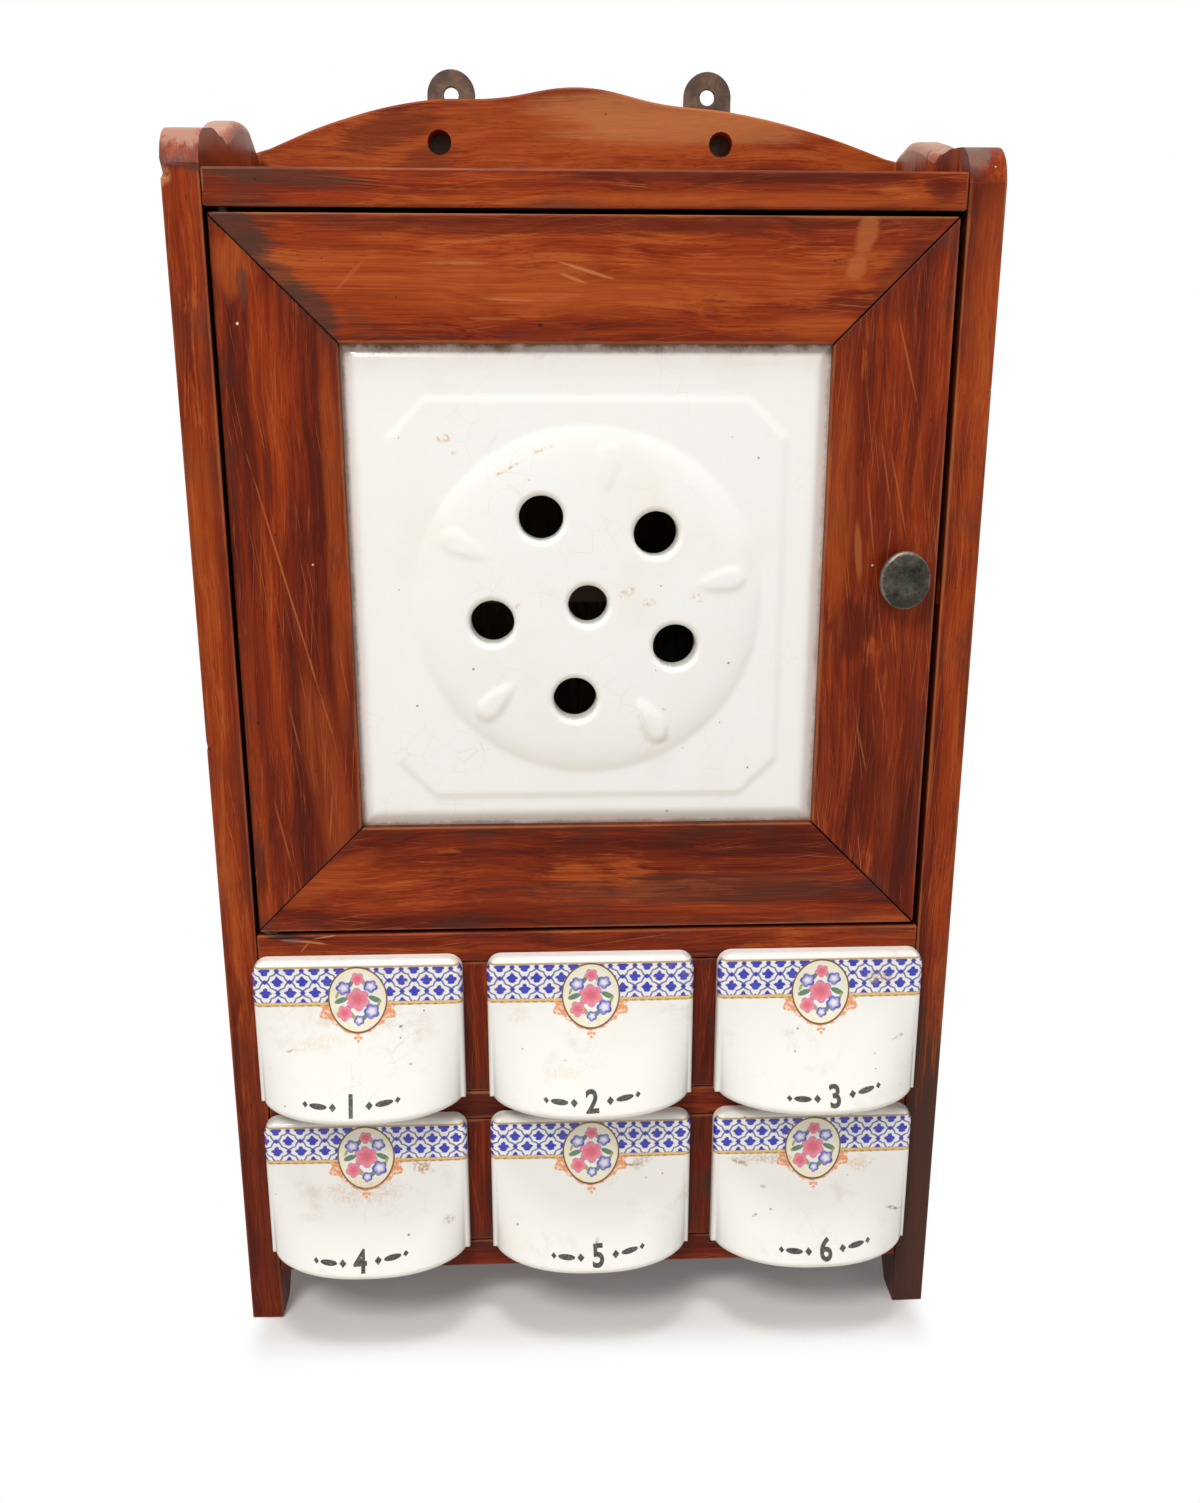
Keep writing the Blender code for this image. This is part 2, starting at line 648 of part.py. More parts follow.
def make_tile(door):
    """Glazed tile; its panel, boss and vents sit a little below the door's middle."""
    relief = Vector((DOOR_MIDDLE.x, 0.0, DOOR_MIDDLE.z - TILE_RELIEF_DROP))
    slab = outline_mesh("door_tile", TILE_THICKNESS, rectangle(TILE_HALF_WIDTH, TILE_HALF_HEIGHT))
    tile = add_piece(
        "door_tile",
        upright(slab, UPRIGHT_FRONT),
        Vector((DOOR_MIDDLE.x, (TILE_FRONT + TILE_BACK) / 2, DOOR_MIDDLE.z)),
        TILE_GLAZE,
        door,
    )
    sunk = TILE_THICKNESS / 2
    panel_depth = sunk + TILE_PANEL_RISE
    panel = upright(outline_mesh("tile_panel", panel_depth, panel_outline()), UPRIGHT_FRONT)
    panel_middle = TILE_FRONT - TILE_PANEL_RISE + panel_depth / 2
    combine(tile, add_cutter("tile_panel", panel, relief + Vector((0.0, panel_middle, 0.0))), "UNION")
    radius = min(OPENING_HALF_WIDTH, OPENING_HALF_HEIGHT) - TILE_BOSS_MARGIN
    profile = [
        (0.0, TILE_BOSS_RISE),
        (radius * 0.62, TILE_BOSS_RISE * 0.94),
        (radius * 0.86, TILE_BOSS_RISE * 0.72),
        (radius * 0.96, TILE_BOSS_RISE * 0.42),
        (radius, 0.0),
        (radius, -sunk),
        (0.0, -sunk),
    ]
    boss = turned_mesh("tile_boss", profile, 2 * ROUND_STEPS)
    boss.transform(Matrix.Rotation(math.pi / 2, 4, "X"))
    combine(tile, add_cutter("tile_boss", boss, relief + Vector((0.0, TILE_FRONT, 0.0))), "UNION")
    vents = [(Vector((0.0, 0.0, 0.0)), VENT_CENTRE_DIAMETER)]
    for index in range(VENT_COUNT):
        turn = math.radians(VENT_FIRST_ANGLE - index * 360.0 / VENT_COUNT)
        offset = Vector((-math.sin(turn), 0.0, math.cos(turn))) * VENT_CIRCLE_DIAMETER / 2
        vents.append((offset, VENT_DIAMETER))
    for index, (offset, diameter) in enumerate(vents):
        length = TILE_THICKNESS + 2 * TILE_BOSS_RISE
        bore = rod_mesh(f"vent_{index}", diameter / 2, length, "Y", ROUND_STEPS)
        start = relief + offset + Vector((0.0, TILE_BACK + ARRIS - length, 0.0))
        combine(tile, add_cutter(f"vent_{index}", bore, start))


def make_tile_beads(door):
    """Strips in the rebate that hold the tile in from behind."""
    low = TILE_BACK + JOINT_GAP
    outer_u = OPENING_HALF_WIDTH + REBATE_WIDTH - JOINT_GAP
    outer_v = OPENING_HALF_HEIGHT + REBATE_WIDTH - JOINT_GAP
    inner_u = OPENING_HALF_WIDTH
    inner_v = OPENING_HALF_HEIGHT
    spans = {
        "tile_bead_top": ((-outer_u, inner_v), (outer_u, outer_v)),
        "tile_bead_bottom": ((-outer_u, -outer_v), (outer_u, -inner_v)),
        "tile_bead_left": ((-outer_u, -inner_v + JOINT_GAP), (-inner_u, inner_v - JOINT_GAP)),
        "tile_bead_right": ((inner_u, -inner_v + JOINT_GAP), (outer_u, inner_v - JOINT_GAP)),
    }
    for name, ((u0, v0), (u1, v1)) in spans.items():
        board(
            name,
            (DOOR_MIDDLE.x + u0, low, DOOR_MIDDLE.z + v0),
            (DOOR_MIDDLE.x + u1, DOOR_BACK, DOOR_MIDDLE.z + v1),
            STAINED_WOOD,
            door,
        )


def make_pivots(bars, boards):
    """Pins in the carcass that run in holes in the door, and the washer that carries it."""
    radius = PIVOT_DIAMETER / 2
    gaps = {"bottom": DOOR_GAP_BOTTOM, "top": DOOR_GAP_TOP}
    starts = {"bottom": CUPBOARD_FLOOR - PIVOT_DEPTH, "top": DOOR_HIGH - PIVOT_DEPTH}
    carriers = {"bottom": boards["cupboard_floor"], "top": boards["top_board"]}
    rails = {"bottom": bars["door_rail_bottom"], "top": bars["door_rail_top"]}
    for end, start in starts.items():
        length = 2 * PIVOT_DEPTH + gaps[end]
        place = Vector((PIVOT.x, PIVOT.y, start))
        add_piece(f"pivot_pin_{end}", rod_mesh(f"pivot_pin_{end}", radius, length), place, DARK_IRON)
        bore = rod_mesh(f"pivot_bore_{end}", radius + RUNNING_GAP, length + 2 * RUNNING_GAP)
        hole = add_cutter(f"pivot_bore_{end}", bore, place - Vector((0.0, 0.0, RUNNING_GAP)))
        for piece in (carriers[end], rails[end], bars["door_stile_left"]):
            combine(piece, hole)
    thickness = DOOR_GAP_BOTTOM - 2 * RUNNING_GAP
    ring = outline_mesh(
        "pivot_washer",
        thickness,
        circle(0.0, 0.0, WASHER_DIAMETER / 2, ROUND_STEPS),
        circle(0.0, 0.0, radius + RUNNING_GAP),
    )
    washer_middle = Vector((PIVOT.x, PIVOT.y, CUPBOARD_FLOOR + RUNNING_GAP + thickness / 2))
    add_piece("pivot_washer", ring, washer_middle, DARK_IRON)


def round_pivot_edge(bars):
    """The door's front edge beside the pivots is rounded, so that it can swing."""
    radius = PIVOT_EDGE_RADIUS
    out = DOOR_GAP_LEFT
    turns = [math.pi / 2 * step / CURVE_STEPS for step in range(CURVE_STEPS + 1)]
    arc = [corner(radius - radius * math.sin(turn), radius - radius * math.cos(turn)) for turn in turns]
    outline = [corner(-out, -out), corner(radius, -out)] + arc + [corner(-out, radius)]
    height = DOOR_HIGH - DOOR_LOW + 2 * out
    mesh = outline_mesh("pivot_edge", height, outline)
    cutter = add_cutter("pivot_edge", mesh, Vector((DOOR_LEFT, FRONT, DOOR_MIDDLE.z)))
    for name in ("door_rail_top", "door_rail_bottom", "door_stile_left"):
        combine(bars[name], cutter)


def make_knob(knob):
    """Oval domed knob with a neck, hollow at the back for the spindle's end."""
    half = KNOB_HEIGHT / 2
    neck = KNOB_NECK_DIAMETER / 2
    bore = SPINDLE_DIAMETER / 2 + JOINT_GAP
    rim = KNOB_STANDOFF + KNOB_THICKNESS - KNOB_DOME
    profile = [
        (0.0, KNOB_STANDOFF + KNOB_THICKNESS),
        (half * 0.55, KNOB_STANDOFF + KNOB_THICKNESS - KNOB_DOME * 0.35),
        (half * 0.9, rim),
        (half, rim - KNOB_DOME * 0.6),
        (half, KNOB_STANDOFF + KNOB_DOME * 0.5),
        (half * 0.92, KNOB_STANDOFF),
        (neck, KNOB_STANDOFF),
        (neck, JOINT_GAP),
        (bore, JOINT_GAP),
        (bore, JOINT_GAP + SPINDLE_GRIP),
        (0.0, JOINT_GAP + SPINDLE_GRIP),
    ]
    mesh = turned_mesh("knob", profile)
    for vertex in mesh.vertices:
        if math.hypot(vertex.co.x, vertex.co.y) > neck * 1.01:
            vertex.co.x *= KNOB_WIDTH / KNOB_HEIGHT
    mesh.transform(Matrix.Rotation(math.pi / 2, 4, "X"))
    add_piece("knob", mesh, KNOB, WORN_BRASS, knob)


def make_spindle(knob):
    """Spindle with a crank disc behind the bolt and a pin that drives it."""
    tip = FRONT - SPINDLE_GRIP
    end = DOOR_BACK - JOINT_GAP
    shaft = rod_mesh("latch_spindle", SPINDLE_DIAMETER / 2, end - tip, "Y")
    spindle = add_piece("latch_spindle", shaft, Vector((KNOB.x, tip, KNOB.z)), DARK_IRON, knob)
    disc = rod_mesh("crank_disc", CRANK_DISC_RADIUS, CRANK_DISC_THICKNESS, "Y", ROUND_STEPS)
    disc_place = Vector((KNOB.x, CRANK_DISC_FRONT, KNOB.z))
    combine(spindle, add_cutter("crank_disc", disc, disc_place), "UNION")
    reach = CRANK_DISC_FRONT - (FRONT + BOLT_SETBACK) + CRANK_DISC_THICKNESS / 2
    pin = rod_mesh("crank_pin", CRANK_PIN_DIAMETER / 2, reach, "Y")
    pin_place = Vector((KNOB.x, FRONT + BOLT_SETBACK, KNOB.z)) + CRANK_PIN
    combine(spindle, add_cutter("crank_pin", pin, pin_place), "UNION")


def make_bolt(bolt_guide):
    """Bolt with a full-height head and a lower tail, notched for the crank pin."""
    slot = CRANK_PIN_DIAMETER / 2 + RUNNING_GAP
    slot_middle = KNOB.x + CRANK_PIN.x
    head_start = KNOB.x + SPINDLE_DIAMETER / 2 + RUNNING_GAP
    tip = DOOR_RIGHT + BOLT_PROUD
    low = BOLT_MIDDLE - BOLT_HEIGHT / 2
    high = BOLT_MIDDLE + BOLT_HEIGHT / 2
    slot_low = KNOB.z - CRANK_RADIUS - slot
    points = [
        (KNOB.x - BOLT_TAIL_REACH, low),
        (tip, low),
        (tip, high),
        (head_start, high),
        (head_start, BOLT_TAIL_TOP),
        (slot_middle + slot, BOLT_TAIL_TOP),
        (slot_middle + slot, slot_low),
        (slot_middle - slot, slot_low),
        (slot_middle - slot, BOLT_TAIL_TOP),
        (KNOB.x - BOLT_TAIL_REACH, BOLT_TAIL_TOP),
    ]
    outline = [corner(u - KNOB.x, v - KNOB.z) for u, v in points]
    mesh = upright(outline_mesh("latch_bolt", BOLT_THICKNESS, outline), UPRIGHT_FRONT)
    middle = Vector((KNOB.x, FRONT + BOLT_SETBACK + BOLT_THICKNESS / 2, KNOB.z))
    add_piece("latch_bolt", mesh, middle, DARK_IRON, bolt_guide)


def make_latch_seat(stile, side):
    """Spindle bore, lock pocket and bolt slots in the door's stile and the cabinet's side."""
    pocket_front = FRONT + BOLT_SETBACK - RUNNING_GAP
    pocket = box_cutter(
        "lock_pocket",
        (KNOB.x - POCKET_HALF_WIDTH, pocket_front, POCKET_LOW),
        (KNOB.x + POCKET_HALF_WIDTH, DOOR_BACK + ARRIS, POCKET_TOP),
    )
    bore = rod_mesh("spindle_bore", SPINDLE_DIAMETER / 2 + RUNNING_GAP, DOOR_THICKNESS, "Y")
    spindle_bore = add_cutter("spindle_bore", bore, Vector((KNOB.x, FRONT - ARRIS, KNOB.z)))
    slot_low = BOLT_MIDDLE - BOLT_HEIGHT / 2 - RUNNING_GAP
    slot_high = BOLT_MIDDLE + BOLT_HEIGHT / 2 + RUNNING_GAP
    slot_back = FRONT + BOLT_SETBACK + BOLT_THICKNESS + RUNNING_GAP
    slot = box_cutter(
        "bolt_slot",
        (KNOB.x, pocket_front, slot_low),
        (DOOR_RIGHT + DOOR_GAP_RIGHT / 2, slot_back, slot_high),
    )
    for cutter in (pocket, spindle_bore, slot):
        combine(stile, cutter)
    strike = box_cutter(
        "strike_mortise",
        (INNER_HALF - RUNNING_GAP, pocket_front, slot_low),
        (INNER_HALF + STRIKE_DEPTH, slot_back, slot_high),
    )
    combine(side, strike)


def make_latch_cover(stile, door):
    """Plate let in flush behind the lock, which carries the spindle's rear end."""
    left = -POCKET_HALF_WIDTH - COVER_EDGE
    right = KNOB_INSET - COVER_EDGE
    low = POCKET_LOW - COVER_BORDER - KNOB.z
    high = POCKET_TOP + COVER_BORDER - KNOB.z
    screws = {"top": high - COVER_BORDER / 2, "bottom": low + COVER_BORDER / 2}
    screw_hole = SCREW_SHANK_DIAMETER / 2 + JOINT_GAP
    outline = [corner(left, low), corner(right, low), corner(right, high), corner(left, high)]
    holes = [circle(0.0, 0.0, SPINDLE_DIAMETER / 2 + RUNNING_GAP)]
    holes += [circle(0.0, height, screw_hole) for height in screws.values()]
    mesh = upright(outline_mesh("latch_cover", COVER_THICKNESS, outline, *holes), UPRIGHT_FRONT)
    place = Vector((KNOB.x, DOOR_BACK - COVER_THICKNESS / 2, KNOB.z))
    add_piece("latch_cover", mesh, place, DARK_IRON, door)
    recess = box_cutter(
        "cover_recess",
        (KNOB.x + left - JOINT_GAP, DOOR_BACK - COVER_THICKNESS - JOINT_GAP, KNOB.z + low - JOINT_GAP),
        (KNOB.x + right + JOINT_GAP, DOOR_BACK + ARRIS, KNOB.z + high + JOINT_GAP),
    )
    combine(stile, recess)
    for level, height in screws.items():
        name = f"latch_screw_{level}"
        seat = Vector((KNOB.x, DOOR_BACK + JOINT_GAP, KNOB.z + height))
        add_piece(name, screw_mesh(name), seat, DARK_IRON, door)
        combine(stile, screw_cutter(f"{name}_hole", seat))


def spaced(low, high, rim, count):
    """Stations from low to high, closer together within the rim at both ends."""
    inner_low = low + rim
    inner_high = high - rim
    inner = [inner_low + (inner_high - inner_low) * step / count for step in range(count + 1)]
    return [low, low + 0.3 * rim] + inner + [high - 0.3 * rim, high]


def rounding(distance, radius):
    """How far a rounded rim falls back at a distance from its edge."""
    if distance >= radius:
        return 0.0
    return radius - math.sqrt(radius ** 2 - (radius - distance) ** 2)


def drawer_front_mesh(width, height):
    """Overlay front in local axes: back plane y = 0, foot z = 0, lip swelling to -Y."""
    half = width / 2
    columns = spaced(-half, half, FRONT_RIM_RADIUS, LIP_COLUMNS)
    rows = spaced(0.0, height, FRONT_RIM_RADIUS, LIP_ROWS)
    bm = bmesh.new()
    bmesh.ops.create_grid(bm, x_segments=len(columns) - 1, y_segments=len(rows) - 1, size=1.0)
    for vertex in bm.verts:
        column = round((vertex.co.x + 1.0) / 2 * (len(columns) - 1))
        row = round((vertex.co.y + 1.0) / 2 * (len(rows) - 1))
        x = columns[column]
        z = rows[row]
        edge = min(half - abs(x), height - z, z)
        corner_loss = rounding(height - z, FRONT_CORNER_RADIUS)
        across = min(1.0, abs(x) / (half - LIP_MARGIN))
        fall = (height - LIP_START - z) / (height - LIP_START - FRONT_RIM_RADIUS)
        down = min(1.0, max(0.0, fall))
        bow = (1.0 - across ** LIP_SQUARENESS) ** LIP_ROUNDNESS
        swell = LIP_REACH * bow * down ** LIP_FLARE
        depth = FRONT_THICKNESS + swell - rounding(edge, FRONT_RIM_RADIUS)
        vertex.co = (x * (half - corner_loss) / half, -depth, z)
    rim = [edge for edge in bm.edges if edge.is_boundary]
    extruded = bmesh.ops.extrude_edge_only(bm, edges=rim)["geom"]
    back_edges = [item for item in extruded if isinstance(item, bmesh.types.BMEdge) and item.is_boundary]
    for item in extruded:
        if isinstance(item, bmesh.types.BMVert):
            item.co.y = 0.0
    bmesh.ops.edgeloop_fill(bm, edges=back_edges)
    bmesh.ops.recalc_face_normals(bm, faces=bm.faces)
    return mesh_from("drawer_front", bm)


def rounded_tub_mesh(name, size, radius):
    """Box with its upright and lower edges rounded; its foot lies on z = 0."""
    bm = bmesh.new()
    place = Matrix.Translation((0.0, 0.0, size.z / 2)) @ Matrix.Diagonal((*size, 1.0))
    bmesh.ops.create_cube(bm, size=1.0, matrix=place)
    edges = [edge for edge in bm.edges if any(vertex.co.z < size.z / 2 for vertex in edge.verts)]
    bmesh.ops.bevel(
        bm, geom=edges, offset=radius, offset_type="OFFSET", affect="EDGES",
        segments=CORNER_STEPS, profile=0.5, material=-1,
    )
    return mesh_from(name, bm)


def drawer_mesh():
    """One-piece ceramic drawer: tub, overlay front and lip, with a finger pocket below."""
    front_width = BAY_WIDTH + 2 * FRONT_OVERLAP_SIDE
    front_height = DRAWER_BAY_HEIGHT - JOINT_GAP + FRONT_OVERLAP_TOP
    tub = Vector((
        BAY_WIDTH - 2 * DRAWER_SIDE_GAP,
        DRAWER_DEPTH + JOINT_GAP + FRONT_THICKNESS / 2,
        DRAWER_BAY_HEIGHT - JOINT_GAP - DRAWER_TOP_GAP,
    ))
    hollow = Vector((tub.x - 2 * DRAWER_WALL, DRAWER_DEPTH - DRAWER_WALL, tub.z))
    front = bpy.data.objects.new("drawer_front", drawer_front_mesh(front_width, front_height))
    cutters.objects.link(front)
    shell = add_cutter(
        "drawer_shell",
        rounded_tub_mesh("drawer_shell", tub, DRAWER_CORNER_RADIUS),
        Vector((0.0, tub.y / 2 - FRONT_THICKNESS / 2, 0.0)),
    )
    cavity = add_cutter(
        "drawer_cavity",
        rounded_tub_mesh("drawer_cavity", hollow, DRAWER_CORNER_RADIUS),
        Vector((0.0, JOINT_GAP + hollow.y / 2, DRAWER_WALL)),
    )
    pocket_radii = (front_width / 2 - POCKET_MARGIN, LIP_REACH - LIP_WALL, POCKET_HEIGHT)
    bm = bmesh.new()
    bmesh.ops.create_uvsphere(
        bm, u_segments=ROUND_STEPS, v_segments=POCKET_RINGS, radius=1.0,
        matrix=Matrix.Diagonal((*pocket_radii, 1.0)),
    )
    bmesh.ops.bisect_plane(
        bm, geom=bm.verts[:] + bm.edges[:] + bm.faces[:], plane_co=(0.0, 0.0, 0.0), plane_no=(0.0, 1.0, 0.0),
        clear_outer=True,
    )
    bmesh.ops.holes_fill(bm, edges=[edge for edge in bm.edges if edge.is_boundary])
    bmesh.ops.recalc_face_normals(bm, faces=bm.faces)
    pocket = add_cutter("finger_pocket", mesh_from("finger_pocket", bm), Vector((0.0, -FRONT_THICKNESS, 0.0)))
    combine(front, shell, "UNION")
    combine(front, cavity)
    combine(front, pocket)
    mesh = evaluated_mesh("drawer", front)
    for helper in (shell, cavity, pocket):
        bpy.data.objects.remove(helper, do_unlink=True)
    smooth(mesh)
    return mesh


def make_drawers():
    mesh = drawer_mesh()
    number = 0
    for row in reversed(range(DRAWER_ROWS)):
        low = FOOT_HEIGHT + BOARD_THICKNESS + row * ROW_PITCH + JOINT_GAP
        for column in range(DRAWER_COLUMNS):
            number += 1
            middle = (column - (DRAWER_COLUMNS - 1) / 2) * BAY_PITCH
            add_piece(f"drawer_{number}", mesh, Vector((middle, FRONT - JOINT_GAP, low)), DRAWER_GLAZE)


def main():
    sides = make_sides()
    boards = make_level_boards()
    make_dividers()
    make_back_and_shelf()
    make_lugs(make_crest())

    door = add_pivot("door_pivot", PIVOT)
    bars = make_door_frame(door)
    make_tile(door)
    make_tile_beads(door)
    make_pivots(bars, boards)
    round_pivot_edge(bars)

    knob = add_pivot("knob_pivot", KNOB, door)
    bolt_guide = add_pivot("bolt_guide", Vector((DOOR_RIGHT, FRONT + BOLT_SETBACK, BOLT_MIDDLE)), door)
    make_knob(knob)
    make_spindle(knob)
    make_bolt(bolt_guide)
    make_latch_seat(bars["door_stile_right"], sides["side_right"])
    make_latch_cover(bars["door_stile_right"], door)

    make_drawers()


main()
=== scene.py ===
import json
import math

import bmesh
import bpy
from mathutils import Matrix, Vector, noise


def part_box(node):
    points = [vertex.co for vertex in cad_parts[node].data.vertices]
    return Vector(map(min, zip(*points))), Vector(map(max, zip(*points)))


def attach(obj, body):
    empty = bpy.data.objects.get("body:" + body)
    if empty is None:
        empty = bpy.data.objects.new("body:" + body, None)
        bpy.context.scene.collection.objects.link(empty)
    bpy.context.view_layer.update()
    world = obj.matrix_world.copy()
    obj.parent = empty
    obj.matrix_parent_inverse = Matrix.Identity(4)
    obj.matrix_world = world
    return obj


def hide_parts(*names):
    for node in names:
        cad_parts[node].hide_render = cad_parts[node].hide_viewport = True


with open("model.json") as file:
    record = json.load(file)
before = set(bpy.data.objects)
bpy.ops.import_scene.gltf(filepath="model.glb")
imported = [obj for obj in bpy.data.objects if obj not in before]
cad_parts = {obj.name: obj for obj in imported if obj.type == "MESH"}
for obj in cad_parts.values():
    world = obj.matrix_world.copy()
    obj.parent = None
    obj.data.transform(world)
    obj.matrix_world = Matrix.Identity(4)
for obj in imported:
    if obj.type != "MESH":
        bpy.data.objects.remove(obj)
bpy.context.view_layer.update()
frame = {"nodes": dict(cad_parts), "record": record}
print("frame loaded:", len(frame["nodes"]), "nodes")

mm = 0.001
slanted = 0.707       # times the difference along two axes: the distance from their diagonal
scene = bpy.context.scene
scene.view_settings.view_transform = "Standard"
bodyOf = {}
for bodyName, members in frame["record"]["behaviour"]["bodies"].items():
    for member in members:
        bodyOf[member] = bodyName

# planes of the carcass that other pieces are set out from
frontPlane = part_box("side_left")[0].y
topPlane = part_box("top_board")[1].z


# camera, at the photograph's viewing angle
cameraSettings = {
    "place": (-0.0173, -0.55285, 0.3994),
    "pitch": 15.513,       # degrees down
    "yaw": 2.419,          # degrees to the right
    "roll": 0.056,
    "focal": 1320 / 1503,  # of the frame's height
    "sensor": 36.0,
}


def makeCamera(settings):
    data = bpy.data.cameras.new("camera")
    data.sensor_fit = "VERTICAL"
    data.sensor_height = settings["sensor"]
    data.lens = settings["focal"] * settings["sensor"]
    data.clip_start = 0.01
    camera = bpy.data.objects.new("camera", data)
    scene.collection.objects.link(camera)
    turn = Matrix.Rotation(-math.radians(settings["yaw"]), 4, "Z")
    tilt = Matrix.Rotation(math.radians(90 - settings["pitch"]), 4, "X")
    roll = Matrix.Rotation(math.radians(settings["roll"]), 4, "Z")
    camera.matrix_world = Matrix.Translation(settings["place"]) @ turn @ tilt @ roll
    scene.camera = camera


makeCamera(cameraSettings)
print("camera set")


# shader sums
def layStops(ramp, stops):
    for element, (position, colour) in zip(ramp.elements, (stops[0], stops[-1])):
        element.position = position
        element.color = colour
    for position, colour in stops[1:-1]:
        ramp.elements.new(position).color = colour


class Value:
    # a socket that can stand in a sum; each operator adds its Math node
    def __init__(self, tree, socket=None):
        self.tree = tree
        self.socket = socket

    def node(self, kind, settings=None, sockets=None, out=0):
        made = self.tree.nodes.new("ShaderNode" + kind)
        for name, setting in (settings or {}).items():
            if name == "stops":
                layStops(made.color_ramp, setting)
            else:
                setattr(made, name, setting)
        for name, given in (sockets or {}).items():
            if isinstance(given, Value):
                self.tree.links.new(given.socket, made.inputs[name])
            else:
                made.inputs[name].default_value = given
        if isinstance(out, tuple):
            return [Value(self.tree, made.outputs[one]) for one in out]
        return Value(self.tree, made.outputs[out] if len(made.outputs) else None)

    def maths(self, operation, first, second=0.0):
        return self.node("Math", {"operation": operation}, {0: first, 1: second})

    def __add__(self, other):
        return self.maths("ADD", self, other)

    __radd__ = __add__

    def __sub__(self, other):
        return self.maths("SUBTRACT", self, other)

    def __rsub__(self, other):
        return self.maths("SUBTRACT", other, self)

    def __mul__(self, other):
        return self.maths("MULTIPLY", self, other)

    __rmul__ = __mul__

    def __truediv__(self, other):
        return self.maths("DIVIDE", self, other)

    def __rtruediv__(self, other):
        return self.maths("DIVIDE", other, self)

    def __pow__(self, other):
        return self.maths("POWER", self, other)

    def __abs__(self):
        return self.maths("ABSOLUTE", self)

    def __gt__(self, other):
        return self.maths("GREATER_THAN", self, other)

    def __lt__(self, other):
        return self.maths("LESS_THAN", self, other)

    def least(self, other):
        return self.maths("MINIMUM", self, other)

    def most(self, other):
        return self.maths("MAXIMUM", self, other)

    def sine(self):
        return self.maths("SINE", self)

    def folded(self):
        # distance to the nearest whole number, with its sign
        return self - self.maths("ROUND", self)

    def rise(self, low, high):
        span = {"Value": self, "From Min": low, "From Max": high}
        return self.node("MapRange", {"interpolation_type": "SMOOTHSTEP"}, span)

    def fall(self, low, high):
        return 1 - self.rise(low, high)

    def over(self, under, colour):
        # this value is the mask with which a colour lies over another
        return self.node("Mix", {"data_type": "RGBA"}, {0: self, 6: under, 7: colour}, 2)

    def ramp(self, stops):
        return self.node("ValToRGB", {"stops": stops}, {"Fac": self})

    def axes(self):
        return self.node("SeparateXYZ", None, {0: self}, (0, 1, 2))

    def vector(self, x, y, z):
        return self.node("CombineXYZ", None, {0: x, 1: y, 2: z})

    def vectorMaths(self, operation, amount):
        return self.node("VectorMath", {"operation": operation}, {0: self, 1: amount})

    def turned(self, x=0.0, y=0.0, z=0.0):
        # a place turned about the axes, in radians
        return self.node("Mapping", None, {"Vector": self, "Rotation": (x, y, z)})

    def length(self):
        return self.node("VectorMath", {"operation": "LENGTH"}, {0: self}, "Value")

    def cloud(self, size, detail=2.0, roughness=0.5, seed=0.0):
        # noise of a size in millimetres, on a place in millimetres
        return self.node(
            "TexNoise",
            {"noise_dimensions": "4D"},
            {"Vector": self, "W": seed, "Scale": 1 / size, "Detail": detail, "Roughness": roughness},
            "Fac",
        )


def newMaterial(name):
    material = bpy.data.materials.new(name)
    material.use_nodes = True
    material.node_tree.nodes.clear()
    start = Value(material.node_tree)
    place = start.node("TexCoord", None, None, "Object").vectorMaths("MULTIPLY", (1000, 1000, 1000))
    return material, start, place


def finishMaterial(start, sockets, height=None, strength=0.3, distance=0.3):
    if height:
        bump = {"Height": height, "Strength": strength, "Distance": distance * mm}
        sockets["Normal"] = start.node("Bump", None, bump)
    shader = start.node("BsdfPrincipled", None, sockets)
    start.node("OutputMaterial", None, {"Surface": shader})


# wood
woodColours = {
    "deep": (0.070, 0.008, 0.003, 1.0),
    "red": (0.150, 0.016, 0.003, 1.0),
    "brown": (0.260, 0.034, 0.005, 1.0),
    "amber": (0.410, 0.090, 0.016, 1.0),
    # scratches and rubbed marks, and also the painted highlight along the arrises
    "scoreAndHighlight": (0.430, 0.125, 0.036, 1.0),
    "raw": (0.580, 0.240, 0.090, 1.0),
    "grime": (0.050, 0.026, 0.018, 1.0),
    "grey": (0.470, 0.265, 0.185, 1.0),
    "dust": (0.200, 0.150, 0.120, 1.0),
    # near black: soot, dark dents and joints, and painted shade in the door's gap and in a splinter's crack
    "sootAndShade": (0.012, 0.006, 0.005, 1.0),
    "paint": (0.720, 0.690, 0.640, 1.0),
}
frontMark = {"depth": -49, "reach": 20}  # middle and half size in Y of a mark on the front, in mm


def smear(place, ragged, centre, radii, turn):
    # ragged blot, turned in the plane of the front
    if len(centre) == 2:
        centre = (centre[0], frontMark["depth"], centre[1])
        radii = (radii[0], frontMark["reach"], radii[1])
    turned = place.vectorMaths("SUBTRACT", centre).turned(y=math.radians(turn))
    far = turned.vectorMaths("DIVIDE", radii).length()
    return (far + (ragged - 0.5) * 3.2).fall(0.55, 1.0)


def spots(place, size):
    # cells of a size in millimetres: how far each one's middle is, and a chance of its own
    cells = {"Vector": place, "Scale": 1 / size}
    distance, chance = place.node("TexVoronoi", {"feature": "F1"}, cells, ("Distance", "Color"))
    return distance, chance.axes()[0]


def edgeDistance(place, low, high):
    # of the distances to a box's three pairs of faces, the middle one: on a face, how far its edge is
    gaps = []
    for value, least, most in zip(place.axes(), low, high):
        gaps.append((value - least / mm).least(most / mm - value))
    nearest = gaps[0].least(gaps[1]).least(gaps[2])
    farthest = gaps[0].most(gaps[1]).most(gaps[2])
    return gaps[0] + gaps[1] + gaps[2] - nearest - farthest


